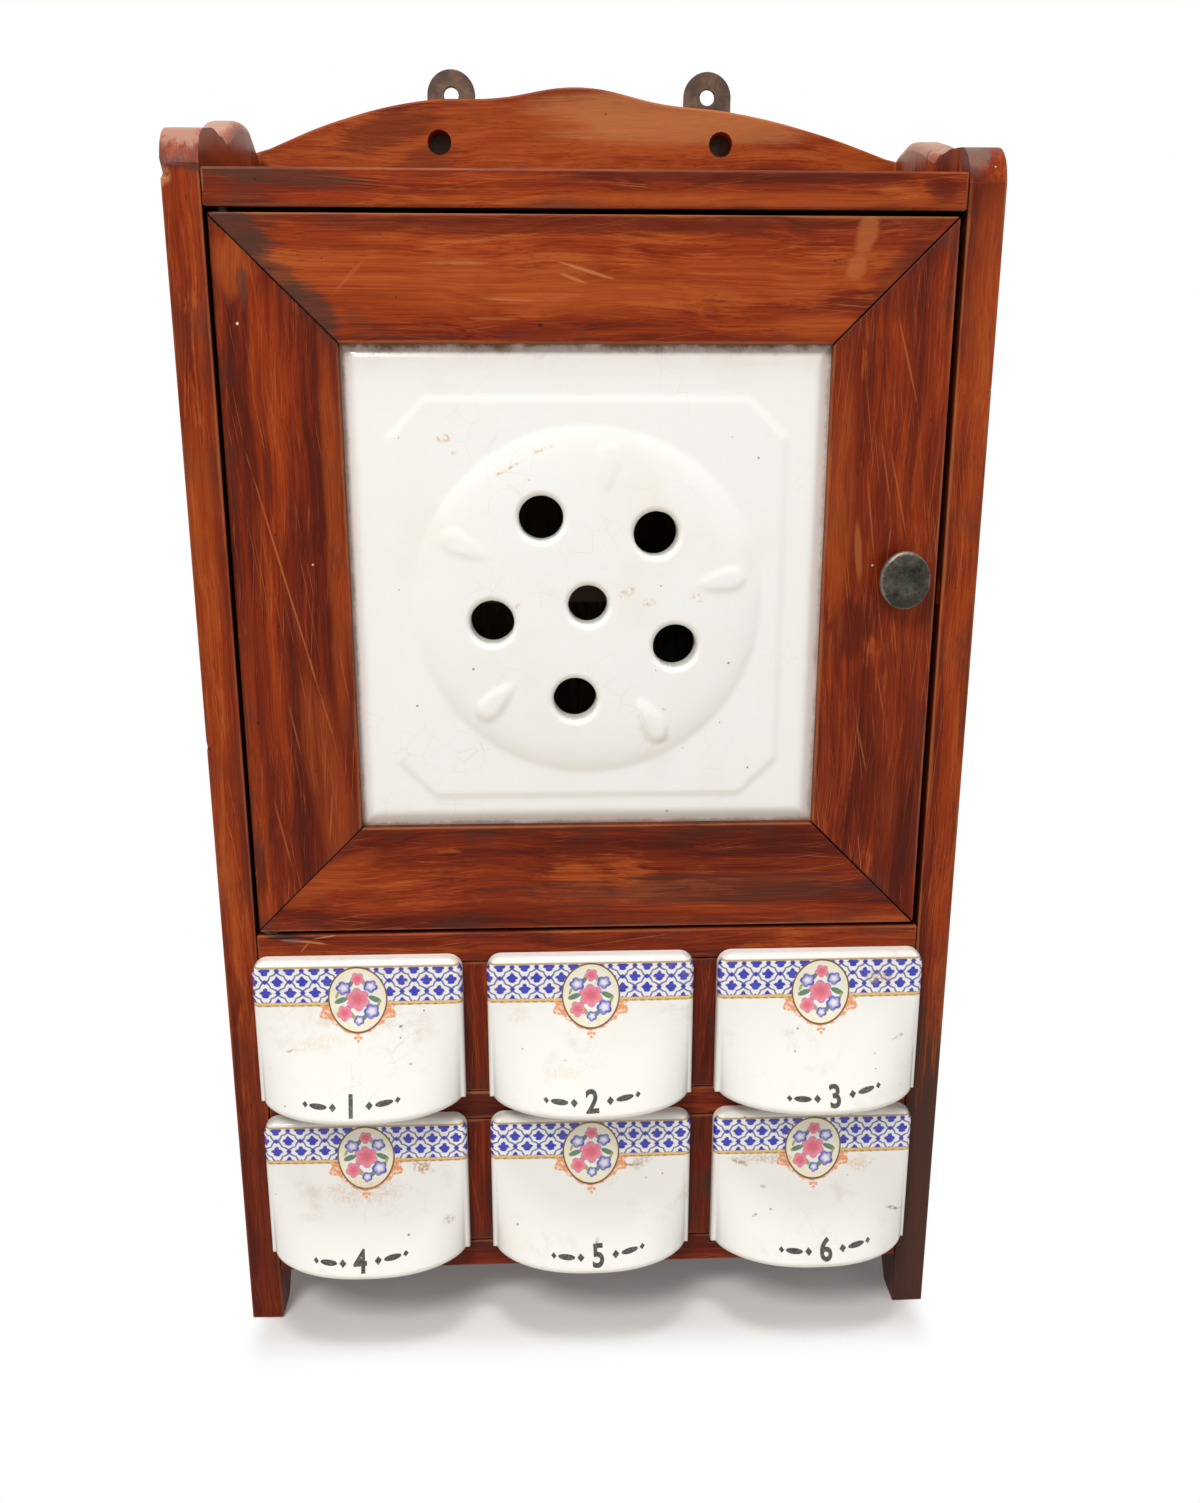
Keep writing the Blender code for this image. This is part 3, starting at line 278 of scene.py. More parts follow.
def doorOutline():
    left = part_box("door_stile_left")[0]
    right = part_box("door_stile_right")[1]
    return {
        "x": (left.x + right.x) / 2 / mm,
        "z": (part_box("door_rail_bottom")[0].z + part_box("door_rail_top")[1].z) / 2 / mm,
        "halfWidth": (right.x - left.x) / 2 / mm,
        "halfHeight": (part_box("door_rail_top")[1].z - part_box("door_rail_bottom")[0].z) / 2 / mm,
    }


def doorGrime(axes, colour, soil, fibres, mitred):
    # painted shade, near black, on the faces inside the gap round the door, and grime with a broken dark
    # line along its mitres
    door = doorOutline()
    gapX = door["halfWidth"] - abs(axes["X"] - door["x"])
    gapZ = door["halfHeight"] - abs(axes["Z"] - door["z"])
    depth = axes["Y"] - frontPlane / mm
    # painted shade: the faces inside the gap round the door are darkened nearly to black
    gapShade = abs(gapX.least(gapZ)).fall(2.2, 3.0) * depth.rise(0.7, 2.6) * depth.fall(10, 17)
    colour = (gapShade * 0.85).over(colour, woodColours["sootAndShade"])
    if not mitred:
        return colour
    joint = abs(gapX - gapZ) * slanted
    grime = (joint + (soil - 0.5) * 50).fall(-9, 5) * 0.6
    colour = grime.over(colour, woodColours["grime"])
    line = (joint + (fibres - 0.5) * 0.8).fall(0.15, 0.6) * (soil.rise(0.40, 0.56) * 0.55 + 0.45)
    return line.over(colour, woodColours["sootAndShade"])


def knockedAbout(place, colour, fibres):
    # a few specks of old paint, and many dark dents
    specks = place.node("TexVoronoi", {"feature": "F1"}, {"Vector": place, "Scale": 1 / 38}, "Distance")
    colour = (specks.fall(0.008, 0.014) * 0.7).over(colour, woodColours["paint"])
    distance, size = spots(place, 13)
    dents = (distance - size * 0.03 + (fibres - 0.5) * 0.05).fall(0.0, 0.02) * (size > 0.45)
    return (dents * 0.6).over(colour, woodColours["sootAndShade"])


def stainedWood(node, grain="X", tone=0.0, wear=0.6, soiled=0.4, seed=0.0, marks=(), mitred=False):
    material, start, place = newMaterial("stained_" + node)
    axes = dict(zip("XYZ", place.axes()))
    along = axes[grain]
    first, second = [axes[name] for name in "XYZ" if name != grain]
    drift = (place.cloud(60, 1.0, 0.5, seed) - 0.5) * 10

    def strands(length, width, detail, roughness, shift=0):
        stretched = start.vector(along / length, (first + drift) / width, (second + drift) / width)
        return stretched.cloud(1.0, detail, roughness, seed + shift)

    figure = strands(180, 11, 3, 0.55)
    strokes = strands(70, 2.4, 3, 0.60, 5)
    fibres = strands(40, 0.55, 3, 0.55, 7)
    pores = strands(6, 0.3, 1, 0.5)
    film = strands(48, 20, 5, 0.62)
    soil = place.cloud(24, 5, 0.64, seed + 3)
    edge = edgeDistance(place, *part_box(node))
    stops = [
        (0.38, woodColours["deep"]),
        (0.46, woodColours["red"]),
        (0.54, woodColours["brown"]),
        (0.66, woodColours["amber"]),
    ]
    colour = (figure * 0.52 + strokes * 0.24 + fibres * 0.24 + tone).ramp(stops)

    # the varnish is rubbed off the middle of a face in streaks, and stays thick and dark along its edges
    worn = film * 0.68 + strokes * 0.20 + fibres * 0.12 + edge.least(12) * 0.011
    bare = 0.74 - wear * 0.16
    stops = [(0.36, woodColours["brown"]), (0.64, woodColours["amber"])]
    bared = (strokes * 0.5 + fibres * 0.5).ramp(stops)
    rubbed = worn.rise(bare, bare + 0.08)
    colour = (rubbed * 0.8).over(colour, bared)
    thick = worn.fall(0.41, 0.53)
    colour = (thick * 0.55).over(colour, woodColours["deep"])
    holes = pores.fall(0.30, 0.40) * 0.5
    colour = holes.over(colour, woodColours["deep"])

    # fine scratches on two slants to the grain
    stretch = [46.0 if name == grain else 0.30 for name in "XYZ"]
    for slant in (0.14, -0.08):
        scored = place.turned(y=slant).vectorMaths("DIVIDE", stretch).cloud(1.0, 1, 0.5, seed + 9)
        scratches = scored.rise(0.66, 0.71) * soil.rise(0.42, 0.56) * 0.6
        colour = scratches.over(colour, woodColours["scoreAndHighlight"])

    # dirt that gathers towards the edges, and a bright line on the arrises, partly rubbed wear and partly
    # painted highlight
    dirt = (edge + (soil - 0.5) * 46).fall(-6, 6) * soiled
    colour = dirt.over(colour, woodColours["grime"])
    # painted highlight: a bright line on every arris, as if it caught the light, laid over its wear
    arris = (edge + (film - 0.5) * 3).fall(0.2, 1.1) * 0.5
    colour = arris.over(colour, woodColours["scoreAndHighlight"])
    colour = doorGrime(axes, colour, soil, fibres, mitred)
    ragged = film * 0.4 + strokes * 0.35 + fibres * 0.25
    for tint, strength, centre, radii, turn in marks:
        mask = smear(place, ragged, centre, radii, turn) * strength
        colour = mask.over(colour, bared if tint == "amber" else woodColours[tint])
    colour = knockedAbout(place, colour, fibres)
    sockets = {
        "Base Color": colour,
        "Roughness": 0.32 + rubbed * 0.12 + dirt * 0.2 + fibres * 0.1,
        "Specular IOR Level": 0.10,
    }
    finishMaterial(start, sockets, strokes * 0.3 + fibres * 0.4 - holes * 0.5, 0.28, 0.22)
    return material


def paleWood(node, grain, seed, shade):
    # unstained softwood inside and behind, gone brown with age
    material, start, place = newMaterial("pale_" + node)
    axes = dict(zip("XYZ", place.axes()))
    along = axes.pop(grain)
    first, second = axes.values()
    drift = (place.cloud(90, 1.0, 0.5, seed) - 0.5) * 30
    stretched = start.vector(along / 260, (first + drift) / 9, (second + drift) / 9)
    rings = stretched.cloud(1.0, 3, 0.55, seed)
    lines = (rings * 44).sine() * 0.5 + 0.5
    fibres = start.vector(along / 22, first / 0.6, second / 0.6).cloud(1.0, 3, 0.6, seed)
    blots = place.cloud(45, 5, 0.6, seed)
    stops = [(0.2, (0.27, 0.14, 0.062, 1.0)), (0.8, (0.40, 0.23, 0.110, 1.0))]
    colour = (lines * 0.55 + fibres * 0.45).ramp(stops)
    colour = (blots.rise(0.42, 0.72) * 0.5).over(colour, (0.16, 0.082, 0.042, 1.0))
    shading = {"data_type": "RGBA", "blend_type": "MULTIPLY"}
    colour = start.node("Mix", shading, {0: 1.0, 6: colour, 7: shade}, 2)
    edge = edgeDistance(place, *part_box(node)) + (blots - 0.5) * 12
    colour = (edge.fall(0, 7) * 0.45).over(colour, (0.12, 0.065, 0.036, 1.0))
    height = fibres * 0.5 + lines * 0.25
    finishMaterial(start, {"Base Color": colour, "Roughness": 0.62 + fibres * 0.15}, height, 0.4, 0.3)
    return material


# ceramics
glazeColours = {
    "tile": (0.835, 0.825, 0.795, 1.0),
    "drawer": (0.835, 0.820, 0.775, 1.0),
    "cream": (0.760, 0.690, 0.540, 1.0),
    "dirt": (0.210, 0.110, 0.048, 1.0),
    "umber": (0.420, 0.250, 0.090, 1.0),
    "ochre": (0.600, 0.340, 0.090, 1.0),
    "rust": (0.640, 0.360, 0.200, 1.0),
    "speck": (0.150, 0.085, 0.050, 1.0),
}


def glazeAge(start, place, colour, seed):
    # pinholes, faint crazing, warm clouds under the glaze, and painted shade in cream where it faces down
    clouds = place.cloud(40, 4, 0.6, seed)
    colour = (clouds.rise(0.5, 0.78) * 0.35).over(colour, glazeColours["cream"])
    # painted shade: glaze that faces downward is tinted cream
    facing = start.node("NewGeometry", None, None, "Normal").axes()[2]
    colour = (facing.fall(-0.32, -0.03) * 0.4).over(colour, glazeColours["cream"])
    wobble = place.vectorMaths("ADD", place.node("TexNoise", None, {"Vector": place, "Scale": 0.3}, "Color"))
    cells = {"Vector": wobble, "Scale": 1 / 9}
    craze = wobble.node("TexVoronoi", {"feature": "DISTANCE_TO_EDGE"}, cells, "Distance")
    lines = craze.fall(0.0, 0.018) * place.cloud(30, 2, 0.5, seed + 5).rise(0.5, 0.7)
    colour = (lines * 0.16).over(colour, glazeColours["dirt"])
    distance, size = spots(place, 11)
    specks = (distance - size * 0.045).fall(0.0, 0.014) * (size > 0.30)
    return (specks * 0.75).over(colour, glazeColours["speck"]), clouds


def glazeMarks(place, colour, marks, grain, broken):
    # soiled spots on a glaze that faces forward
    for tint, strength, (x, z), (halfX, halfZ), turn in marks:
        turned = place.vectorMaths("SUBTRACT", (x, 0, z)).turned(y=math.radians(turn))
        far = turned.vectorMaths("DIVIDE", (halfX, 400, halfZ)).length()
        mask = (far + (grain - 0.5) * 2.2).fall(0.4, 1.1) * broken * strength
        colour = mask.over(colour, glazeColours[tint])
    return colour


tileMarks = {
    # how far dirt creeps in from the frame, in mm, how strongly and how raggedly; a faint warm band three
    # times as far in is partly stain and partly painted shade
    "top": (3.6, 0.75, 16.0),
    "left": (2.2, 0.32, 5.0),
    "right": (2.2, 0.28, 4.0),
    "bottom": (1.2, 0.40, 4.0),
    "stains": [       # tint, strength, middle across and up from the relief's, half sizes, degrees
        ("ochre", 0.75, (-16.5, 58.5), (5.5, 0.8), 20),
        ("ochre", 0.75, (-30.5, 51.0), (6.0, 0.8), 28),
        ("ochre", 0.80, (-53.5, 62.5), (4.0, 1.8), 10),
        ("ochre", 0.50, (-50.0, 57.0), (1.2, 0.9), 0),
        ("ochre", 0.55, (15.0, 5.0), (4.5, 1.8), 25),
        ("ochre", 0.60, (24.0, 1.0), (3.6, 1.8), 10),
        ("ochre", 0.45, (42.0, 3.0), (4.0, 2.2), -15),
        ("ochre", 0.45, (-27.0, 0.0), (1.6, 1.6), 0),
        ("dirt", 0.50, (29.0, -41.0), (1.8, 0.5), -20),
    ],
}


def tileGlaze(settings, middle, cover):
    # middle of the relief, and how much of the edge the frame covers
    material, start, place = newMaterial("vent_tile_glaze")
    colour, clouds = glazeAge(start, place, glazeColours["tile"], 2.0)
    low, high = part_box("door_tile")
    x, z = place.axes()[::2]
    grain = place.cloud(3.0, 4, 0.7, 1.0)
    drift = place.cloud(12, 5, 0.68, 7.0)
    broken = place.cloud(1.3, 3, 0.6, 5.0).rise(0.40, 0.62)
    gaps = {
        "top": high.z / mm - cover - z,
        "left": x - low.x / mm - cover,
        "right": high.x / mm - cover - x,
        "bottom": z - low.z / mm - cover,
    }
    for name, gap in gaps.items():
        reach, strength, loose = settings[name]
        ragged = gap + (drift - 0.5) * loose + (grain - 0.5) * 1.6
        # a faint warm band, partly stain and partly painted shade where the tile runs under the frame
        colour = (ragged.fall(0, reach * 3) * 0.22).over(colour, glazeColours["rust"])
        colour = (ragged.fall(-1.0, reach) * strength).over(colour, glazeColours["dirt"])
        line = gap + (grain - 0.5) * 2.5 + (drift - 0.5) * 4
        colour = (line.fall(0.1, 1.5) * strength).over(colour, glazeColours["dirt"])
    stains = []
    for tint, strength, (across, up), sizes, turn in settings["stains"]:
        stains.append((tint, strength, (middle.x / mm + across, middle.z / mm + up), sizes, turn))
    colour = glazeMarks(place, colour, stains, grain, broken)
    sockets = {"Base Color": colour, "Roughness": 0.12 + clouds * 0.12}
    finishMaterial(start, sockets, place.cloud(7, 2), 0.05, 0.3)
    return material


drawerPrint = {
    "unit": 100.0,         # millimetres to one unit of the print's map
    "offFront": (0.5, 2.0),  # on that map, where the rest of the drawer lies
    "lineTop": 2.2,        # millimetres below the front's top edge
    "bandTop": 2.8,
    "bandLow": 17.8,
    "lineLow": 19.4,
    "pitchAcross": 10.06,
    "pitchDown": 9.86,
    "phaseAcross": 3.0,
    "phaseDown": 13.5,
    # leaf of a cell: below the cell's middle, half width, half height
    "cellLeaf": [(-0.1, 2.5, 1.15), (-0.65, 1.1, 1.85), (1.2, 1.5, 1.0)],
    "oval": (12.1, 14.0),
    "ovalMiddle": 16.3,
    "blue": (0.024, 0.032, 0.430, 1.0),
    "outline": (0.085, 0.085, 0.340, 1.0),
    "gold": (0.740, 0.430, 0.070, 1.0),
    "bronze": (0.430, 0.270, 0.080, 1.0),
    "olive": (0.120, 0.090, 0.035, 1.0),
    "umber": (0.150, 0.075, 0.040, 1.0),
    "orange": (0.760, 0.210, 0.045, 1.0),
    "peach": (0.830, 0.330, 0.120, 1.0),
    # dots under the oval: across, below its foot, radius
    "pendant": [(0.0, 3.0, 0.7), (-1.2, 1.6, 0.65), (1.2, 1.6, 0.65), (0.0, 1.4, 0.6)],
    "ground": (0.830, 0.765, 0.560, 1.0),
    "leaf": (0.090, 0.190, 0.090, 1.0),
    "sprig": (0.330, 0.370, 0.110, 1.0),
    "pink": (0.830, 0.260, 0.330, 1.0),
    "rose": (0.700, 0.130, 0.190, 1.0),
    "pale": (0.800, 0.760, 0.830, 1.0),
    # flowers: across, below the oval's middle, size, petals, turn, petal, heart
    "flowers": [
        (-5.6, -4.6, 3.2, 5, 0.0, "blue", "pale"),
        (5.4, -5.2, 3.0, 5, 0.9, "blue", "pale"),
        (-5.4, 6.0, 3.3, 5, 0.7, "pink", "rose"),
        (5.6, 5.4, 3.3, 5, 0.2, "blue", "pale"),
        (0.2, -8.6, 2.9, 5, 0.5, "pink", "rose"),
        (0.4, 9.0, 2.2, 5, 0.4, "blue", "pale"),
        (0.0, 0.4, 5.0, 6, 0.3, "pink", "rose"),
    ],
    # leaves: across, below the oval's middle, half length, half width, degrees, tint
    "leaves": [
        (-6.8, 0.8, 2.9, 1.2, 20, "leaf"),
        (6.9, 0.4, 2.9, 1.2, -25, "leaf"),
        (-2.7, -6.4, 2.3, 0.9, 60, "leaf"),
        (2.9, -6.6, 2.3, 0.9, -55, "sprig"),
        (-2.4, 6.9, 2.4, 0.9, -50, "sprig"),
        (2.8, 7.6, 2.4, 0.9, 48, "leaf"),
        (-8.3, -1.6, 1.7, 0.6, 70, "sprig"),
        (8.4, 2.6, 1.7, 0.6, 70, "sprig"),
    ],
}


def latticeBand(start, across, down, colour, settings):
    # traditional diaper: rows of four-lobed cells that touch, a leaf in each and between them,
    # and lozenges where they meet
    a = (across - settings["phaseAcross"]) / settings["pitchAcross"]
    b = (down - settings["phaseDown"]) / settings["pitchDown"]
    level = a.folded() ** 2
    upright = b.folded() ** 2
    wide = level / 0.50 ** 2 + upright / 0.26 ** 2
    tall = level / 0.25 ** 2 + upright / 0.50 ** 2
    net = abs(wide.least(tall) ** 0.5 - 1).fall(0.07, 0.15)
    one = (a + b).folded()
    two = (a - b).folded()
    blue = abs(one).least(abs(two)).rise(0.365, 0.39)
    u = (one + two) * (settings["pitchAcross"] / 2)
    v = (one - two) * (settings["pitchDown"] / 2)
    ragged = (start.vector(across, down, 0.0).cloud(0.9, 2, 0.6, 9.0) - 0.5) * 0.9
    for lower, halfWidth, halfHeight in settings["cellLeaf"]:
        lobe = start.vector(u / halfWidth, (v - lower) / halfHeight, 0.0).length()
        blue = blue.most((lobe + ragged).fall(0.86, 1.06))
    faded = start.vector(across, down, 0.0).cloud(5, 3, 0.6, 4.0)
    inside = down.rise(settings["bandTop"] - 0.1, settings["bandTop"] + 0.1)
    inside = inside * down.fall(settings["bandLow"] - 0.1, settings["bandLow"] + 0.1)
    strong = 0.93 + faded * 0.12
    colour = (net * inside * 0.92 * strong).over(colour, settings["outline"])
    return (blue * inside * strong).over(colour, settings["blue"])


def goldLines(start, across, down, colour, settings):
    grains = start.vector(across, down, 0.0).cloud(0.9, 2, 0.6, 8.0)
    upper = down.rise(settings["lineTop"] - 0.4, settings["lineTop"] + 0.1)
    upper = upper * down.fall(settings["bandTop"], settings["bandTop"] + 0.15)
    lower = down.rise(settings["bandLow"] - 0.1, settings["bandLow"] + 0.1)
    ragged = down + (grains - 0.5) * 0.9
    lower = lower * ragged.fall(settings["lineLow"] - 0.4, settings["lineLow"] + 0.3)
    colour = (upper * 0.9).over(colour, settings["bronze"])
    colour = (lower * 0.9).over(colour, settings["gold"])
    beads = (across * (math.tau / 3.4)).sine().rise(-0.6, 0.6) * 0.5 + 0.35
    rim = ragged.rise(settings["lineLow"] - 0.75, settings["lineLow"] - 0.35)
    return (lower * rim * beads).over(colour, settings["olive"])


def bouquet(start, across, fromMiddle, ground, ragged, settings):
    for u, v, halfLength, halfBreadth, turn, tint in settings["leaves"]:
        turned = start.vector(across - u, fromMiddle - v, 0.0).turned(z=math.radians(turn))
        lens = turned.vectorMaths("DIVIDE", (halfLength, halfBreadth, 1)).length()
        vein = 0.75 + ragged * 0.4
        ground = (lens.fall(0.85, 1.1) * vein).over(ground, settings[tint])
    for u, v, size, petals, turn, tint, heart in settings["flowers"]:
        sideways = across - u
        downward = fromMiddle - v
        angle = start.maths("ARCTAN2", downward, sideways)
        radius = start.vector(sideways, downward, 0.0).length() / size
        rim = (angle * (petals / 2) + turn).sine()
        rim = abs(rim) * 0.24 + 0.76
        shape = radius / rim
        petal = shape.fall(0.92, 1.04)
        folds = (radius * 9 + angle * 2).sine() * 0.12 + 0.88
        shaded = (shape.rise(0.2, 0.9) * folds).over(settings[heart], settings[tint])
        ground = petal.over(ground, shaded)
        line = shape.rise(0.86, 0.98) * shape.fall(0.98, 1.08) * 0.45
        ground = line.over(ground, settings["outline"])
    return ground


def medallion(start, across, down, colour, settings):
    halfWidth, halfHeight = settings["oval"]
    fromMiddle = down - settings["ovalMiddle"]
    flat = start.vector(across / halfWidth, fromMiddle / halfHeight, 0.0)
    far = flat.length()
    ragged = start.vector(across, down, 0.0).cloud(1.1, 2, 0.6, 2.0)

    # scrolls that hug the oval under the band, narrowing towards a small pendant
    below = down.rise(settings["lineLow"] - 0.3, settings["lineLow"] + 0.2)
    angle = start.maths("ARCTAN2", fromMiddle, abs(across))
    reach = angle.fall(0.25, 1.0) * 0.42 + 0.05
    curls = reach * ((angle * 17).sine() * 0.24 + 0.76) + (ragged - 0.5) * 0.1
    scroll = (far - curls).fall(0.98, 1.01) * below
    for u, v, radius in settings["pendant"]:
        dot = start.vector(across - u, fromMiddle - halfHeight - v, 0.0).length() / radius
        scroll = scroll.most((dot + (ragged - 0.5) * 0.5).fall(0.85, 1.1))
    tint = ragged.rise(0.3, 0.7).over(settings["orange"], settings["peach"])
    lace = start.vector(across, down, 0.0).cloud(1.5, 2, 0.6, 6.0).rise(0.40, 0.50) * 0.7 + 0.3
    colour = (scroll * lace * 0.95).over(colour, tint)

    oval = far.fall(0.985, 1.0)
    ground = far.rise(0.50, 0.96).over(glazeColours["drawer"], settings["ground"])
    colour = oval.over(colour, bouquet(start, across, fromMiddle, ground, ragged, settings))
    ring = far.rise(0.940, 0.955) * far.fall(0.99, 1.01)
    return ring.over(colour, settings["umber"])


drawerMarks = [       # tint, strength, middle across and up, half sizes, degrees
    ("dirt", 0.75, (-123, 137), (2.4, 0.8), 15),
    ("dirt", 0.80, (-78, 146), (0.9, 0.5), 20),
    ("dirt", 0.80, (-73.7, 131.7), (1.1, 0.5), 0),
    ("cream", 0.60, (-112, 140), (14, 4), 8),
    ("dirt", 0.80, (-10.8, 132.5), (1.2, 0.6), 0),
    ("dirt", 0.60, (-28.6, 136), (0.9, 0.6), 0),
    ("cream", 0.60, (-11, 127.7), (9, 2.5), 0),
    ("cream", 0.50, (-30, 150), (6, 5), 0),
    ("dirt", 0.60, (128, 137.5), (3.2, 0.8), 25),
    ("dirt", 0.70, (84.3, 134), (0.6, 0.5), 0),
    ("dirt", 0.60, (117.6, 132), (0.7, 0.5), 0),
    ("umber", 0.55, (120, 163), (7, 3.5), -10),
    ("umber", 0.55, (112, 171.5), (4, 0.9), 0),
    ("umber", 0.80, (-72, 79.5), (6, 3.2), -20),
    ("rust", 0.35, (-97, 69.5), (20, 6), 0),
    ("umber", 0.60, (-60.4, 56), (2.6, 2.2), 0),
    ("dirt", 0.75, (16.3, 78.2), (4.6, 0.5), 0),
    ("dirt", 0.85, (23.5, 72.7), (0.6, 0.5), 0),
    ("umber", 0.55, (21, 79), (5, 3), 20),
    ("dirt", 0.70, (2.1, 49.7), (1.0, 1.5), 0),
    ("dirt", 0.75, (-31.5, 54), (0.7, 0.8), 0),
    ("umber", 0.85, (63.8, 78), (4.4, 1.2), -25),
    ("umber", 0.45, (76, 79.5), (14, 2.5), 0),
    ("rust", 0.45, (115.4, 77), (6.5, 4), 0),
    ("umber", 0.75, (73.7, 68), (1.7, 1.0), 0),
    ("dirt", 0.65, (70, 56.5), (1.7, 0.6), 30),
    ("dirt", 0.80, (131, 56), (5.0, 0.9), -25),
    ("dirt", 0.80, (110.2, 72), (0.6, 0.5), 0),
    ("umber", 0.70, (133.8, 39.5), (1.0, 1.5), 0),
    ("dirt", 0.80, (65.7, 99.2), (0.8, 0.8), 0),
    ("dirt", 0.85, (83.4, 98.5), (1.0, 0.7), 0),
    ("dirt", 0.85, (95.8, 98.5), (1.2, 0.7), 0),
    ("dirt", 0.70, (111.2, 99.2), (0.8, 0.6), 0),
]


def drawerGlaze(settings, height):
    material, start, place = newMaterial("printed_drawer_glaze")
    colour, clouds = glazeAge(start, place, glazeColours["drawer"], 6.0)
    u, v = start.node("UVMap", {"uv_map": "print"}).axes()[:2]
    across = (u - 0.5) * settings["unit"]
    down = height - v * settings["unit"]
    stains = place.cloud(11, 6, 0.72, 12.0).rise(0.50, 0.72) * place.cloud(34, 3, 0.55, 3.0).rise(0.44, 0.62)
    decor = latticeBand(start, across, down, colour, settings)
    decor = goldLines(start, across, down, decor, settings)
    decor = medallion(start, across, down, decor, settings)
    front = v.fall(1.5, 1.6)
    colour = front.over(colour, decor)
    colour = (stains * 0.30).over(colour, glazeColours["umber"])
    grain = place.cloud(2.4, 4, 0.7, 1.0)
    broken = place.cloud(1.2, 3, 0.6, 5.0).rise(0.36, 0.58)
    colour = glazeMarks(place, colour, drawerMarks, grain, broken)
    sockets = {"Base Color": colour, "Roughness": 0.10 + clouds * 0.14}
    finishMaterial(start, sockets, place.cloud(6, 2), 0.05, 0.3)
    return material


def inkMaterial():
    material, start, place = newMaterial("number_ink")
    worn = place.cloud(1.2, 3, 0.6, 1.0)
    colour = worn.rise(0.35, 0.75).over((0.030, 0.027, 0.025, 1.0), (0.110, 0.095, 0.080, 1.0))
    finishMaterial(start, {"Base Color": colour, "Roughness": 0.22 + worn * 0.1})
    return material


# metals
def ironMaterial(name, rust, seed):
    material, start, place = newMaterial(name)
    blots = place.cloud(6, 5, 0.65, seed)
    pits = place.cloud(0.8, 3, 0.6, seed)
    stops = [
        (0.30, (0.028, 0.021, 0.018, 1.0)),
        (0.50, (0.075, 0.049, 0.036, 1.0)),
        (0.72, (0.160, 0.076, 0.036, 1.0)),
    ]
    colour = (blots * 0.75 + pits * 0.25 + rust).ramp(stops)
    metallic = (blots * 0.8 + pits * 0.2).fall(0.45, 0.65) * 0.75
    sockets = {"Base Color": colour, "Metallic": metallic, "Roughness": 0.42 + pits * 0.3}
    finishMaterial(start, sockets, blots * 0.5 + pits * 0.5, 0.45, 0.2)
    return material


def brassMaterial(middle, half):
    material, start, place = newMaterial("worn_knob_brass")
    blots = place.cloud(6, 6, 0.7, 4.0)
    pits = place.cloud(0.7, 3, 0.6, 2.0)
    stops = [
        (0.36, (0.012, 0.011, 0.009, 1.0)),
        (0.48, (0.040, 0.037, 0.029, 1.0)),
        (0.58, (0.080, 0.071, 0.056, 1.0)),
        (0.70, (0.150, 0.122, 0.092, 1.0)),
    ]
    colour = (blots * 0.8 + pits * 0.2).ramp(stops)
    x, z = place.axes()[::2]
    across = x - middle.x / mm
    up = z - middle.z / mm
    far = start.vector(across / half[0], up / half[1], 0.0).length()
    # painted highlight round the rim, pale at the upper left, turning into a painted coppery reflection at
    # the lower right
    rim = (far + (blots - 0.5) * 0.3).rise(0.88, 0.99) * 0.7
    copperyReflection = (across - up).rise(-2, 10)
    colour = rim.over(colour, copperyReflection.over((0.300, 0.260, 0.210, 1.0), (0.330, 0.150, 0.085, 1.0)))
    sockets = {"Base Color": colour, "Metallic": 0.85, "Roughness": 0.34 + blots * 0.25}
    finishMaterial(start, sockets, blots * 0.6 + pits * 0.4, 0.35, 0.15)
    return material


# pieces
def placePiece(name, bm, material, body, nodes=(), sharp=35):
    mesh = bpy.data.meshes.new(name)
    bm.to_mesh(mesh)
    bm.free()
    if "custom_normal" in mesh.attributes:
        mesh.attributes.remove(mesh.attributes["custom_normal"])
    mesh.materials.append(material)
    mesh.shade_smooth()
    mesh.set_sharp_from_angle(angle=math.radians(sharp))
    piece = bpy.data.objects.new(name, mesh)
    scene.collection.objects.link(piece)
    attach(piece, body)
    if nodes:
        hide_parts(*nodes)
    return piece


def copyNode(node, weld=0.01 * mm, flat=0.2):
    # loose triangles made whole again; faces that meet within this many degrees of flat are joined
    bm = bmesh.new()
    bm.from_mesh(frame["nodes"][node].data)
    bmesh.ops.remove_doubles(bm, verts=bm.verts, dist=weld)
    bmesh.ops.dissolve_limit(bm, angle_limit=math.radians(flat), verts=bm.verts, edges=bm.edges)
    return bm


def vertsOf(geom):
    return [item for item in geom if isinstance(item, bmesh.types.BMVert)]


def closeBehind(bm, axis, depth):
    # walls from the rim of a sheet to a plane behind it, and a face there
    rim = [edge for edge in bm.edges if edge.is_boundary]
    for vert in vertsOf(bmesh.ops.extrude_edge_only(bm, edges=rim)["geom"]):
        vert.co[axis] = depth
    bmesh.ops.edgeloop_fill(bm, edges=[edge for edge in bm.edges if edge.is_boundary])
    bmesh.ops.recalc_face_normals(bm, faces=bm.faces)


def roundEdges(bm, edges, offset, segments):
    bmesh.ops.bevel(
        bm, geom=edges, offset=offset, offset_type="OFFSET", affect="EDGES", segments=segments, profile=0.5,
        material=-1,
    )


def standUp(bm, place, turn):
    # a piece drawn flat in millimetres, turned about X in degrees and put in its place in metres
    bmesh.ops.scale(bm, vec=(mm, mm, mm), verts=bm.verts)
    bmesh.ops.rotate(bm, cent=(0, 0, 0), matrix=Matrix.Rotation(math.radians(turn), 3, "X"), verts=bm.verts)
    bmesh.ops.translate(bm, vec=place, verts=bm.verts)


